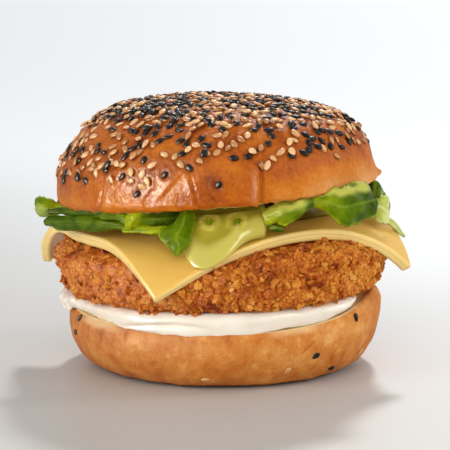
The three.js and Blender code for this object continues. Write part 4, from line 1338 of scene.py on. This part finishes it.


# the crust swells round each seed, and the ring round it is darkened: partly browned wash, partly a painted
# shade in the hollow
def bedSeeds():
    mesh = breadTop.data
    points, normals = meshPoints(mesh), meshNormals(mesh)
    perSeed = len(sesame["rings"]) * sesame["around"] + 2
    middles = np.vstack([meshPoints(seeds.data).reshape(-1, perSeed, 3).mean(1)
                         for seeds in (blackSeeds, whiteSeeds)])
    tree = kdtree.KDTree(len(middles))
    for i, p in enumerate(middles):
        tree.insert(p, i)
    tree.balance()
    away = np.array([tree.find(p)[2] for p in points])
    bed = sesame["swollen"] * np.exp(-((away - 2.2) / 0.6) ** 2) - sesame["sunk"] * np.exp(-(away / 1.2) ** 2)
    movePoints(mesh, points + normals * bed[:, None])
    # the ring round each seed: partly browned wash, partly painted shade in the hollow
    dip = sesame["browned"] * np.exp(-((away - 1.3) / 0.55) ** 2)
    mesh.attributes["dip"].data.foreach_set("value", dip.astype(np.float32))


bedSeeds()
print("seeds made")


# Stage: a wide table top, pale but with a painted shade towards the front and left, in a dim room, a window
# behind, one at the right, and soft boxes
lights = [  # name, kind, place in m, width and height in m or angle, power, colour, what it adds
    ("backWindow", "SUN", (0.12, 0.72, 0.7), 7, 0, 1.75, "#FFFFFF", "both"),
    ("sideWindow", "SUN", (0.85, 0.12, 0.45), 14, 0, 0.75, "#FFFFFF", "both"),
    ("softBox", "AREA", (-0.68, -0.42, 0.15), 0.4, 0.28, 24.0, "#FFF2DC", "shine"),
    ("rightBox", "AREA", (0.7, -0.55, 0.5), 0.24, 0.2, 2.4, "#FFF2DC", "shine"),
    ("leftCard", "AREA", (-0.7, -0.5, 0.3), 0.5, 0.5, 3.3, "#FFFBF4", "shade"),
    ("fill", "AREA", (-0.05, -1.0, 0.42), 1.0, 1.0, 6.8, "#FFFCF6", "shade"),
    ("rightCard", "AREA", (0.75, -0.4, 0.2), 0.5, 0.5, 2.8, "#FFFBF4", "shade"),
]
lightsAim = Vector((0, 0, 0.05))


def makeStage():
    material, tree, place = newMaterial("pale table top")
    at = addNode(tree, "ShaderNodeSeparateXYZ", {}, {"Vector": place})
    # painted shade: the top darkens to a warm grey towards the front and left, and is near white far back
    back = through(tree, at.outputs["X"], ("MULTIPLY_ADD", 1.2, at.outputs["Y"]))
    paler = addNode(tree, "ShaderNodeMapRange", {"interpolation_type": "SMOOTHSTEP"},
                    {"Value": back, "From Min": -0.25, "From Max": 0.6})
    colour = addNode(tree, "ShaderNodeValToRGB", {"stops": [
        (0.0, "#BAB6B2"), (0.35, "#CCCBC9"), (1.0, "#F8F9FA")]}, {"Fac": paler})
    finishSkin(tree, place, None, {"Base Color": colour, "Roughness": 0.42, "Specular IOR Level": 0.3})
    mesh = bpy.data.meshes.new("floor")
    far = 14  # m, so that it meets the backdrop near the horizon
    mesh.from_pydata([(-far, -far, 0), (far, -far, 0), (far, far, 0), (-far, far, 0)], [], [(0, 1, 2, 3)])
    addPiece("floor", mesh, material)
    world = bpy.data.worlds.new("studio")
    world.use_nodes = True
    sky = world.node_tree
    sky.nodes.clear()
    way = addNode(sky, "ShaderNodeTexCoord").outputs["Generated"]
    part = addNode(sky, "ShaderNodeSeparateXYZ", {}, {"Vector": way})
    behind = addNode(sky, "ShaderNodeMapRange", {"interpolation_type": "SMOOTHSTEP"}, {
        "Value": part.outputs["Y"], "From Min": -0.3, "From Max": 0.9, "To Min": 0.05, "To Max": 0.62})
    above = addNode(sky, "ShaderNodeMapRange", {"interpolation_type": "SMOOTHSTEP"}, {
        "Value": part.outputs["Z"], "From Min": 0.3, "From Max": 1.0, "To Min": 0.05, "To Max": 0.6})
    looking = addNode(sky, "ShaderNodeLightPath").outputs["Is Camera Ray"]
    paper = through(sky, looking, ("MULTIPLY", 0.8))  # a pale backdrop, which lights nothing
    shown = through(sky, behind, ("MAXIMUM", above), ("MAXIMUM", paper))
    glow = addNode(sky, "ShaderNodeBackground", {}, {"Color": linear("#F4F8FC"), "Strength": shown})
    addNode(sky, "ShaderNodeOutputWorld", {}, {"Surface": glow})
    scene.world = world
    for name, kind, place, size, height, power, tint, seen in lights:
        data = bpy.data.lights.new(name, kind)
        if kind == "SUN":
            data.angle = math.radians(size)
        else:
            data.shape = "RECTANGLE"
            data.size = size
            data.size_y = height
        data.energy = power
        data.color = linear(tint)[:3]
        lamp = bpy.data.objects.new(name, data)
        lamp.location = place
        lamp.rotation_mode = "QUATERNION"
        lamp.rotation_quaternion = (lightsAim - Vector(place)).to_track_quat("-Z", "Y")
        lamp.visible_camera = False
        lamp.visible_glossy = seen != "shade"
        lamp.visible_diffuse = seen != "shine"
        scene.collection.objects.link(lamp)


makeStage()

# the eater's view, from 0.65 m away and a little above, in m and mm of focal length
view = {"from": Vector((0.00134, -0.6432, 0.1398)), "at": Vector((0.00134, 0, 0.046)), "focal": 155.7}
lens = bpy.data.cameras.new("eater")
lens.sensor_width = 36
lens.lens = view["focal"]
camera = bpy.data.objects.new("eater", lens)
scene.collection.objects.link(camera)
camera.location = view["from"]
camera.rotation_mode = "QUATERNION"
camera.rotation_quaternion = (view["at"] - view["from"]).to_track_quat("-Z", "Y")
scene.camera = camera

bpy.context.view_layer.update()
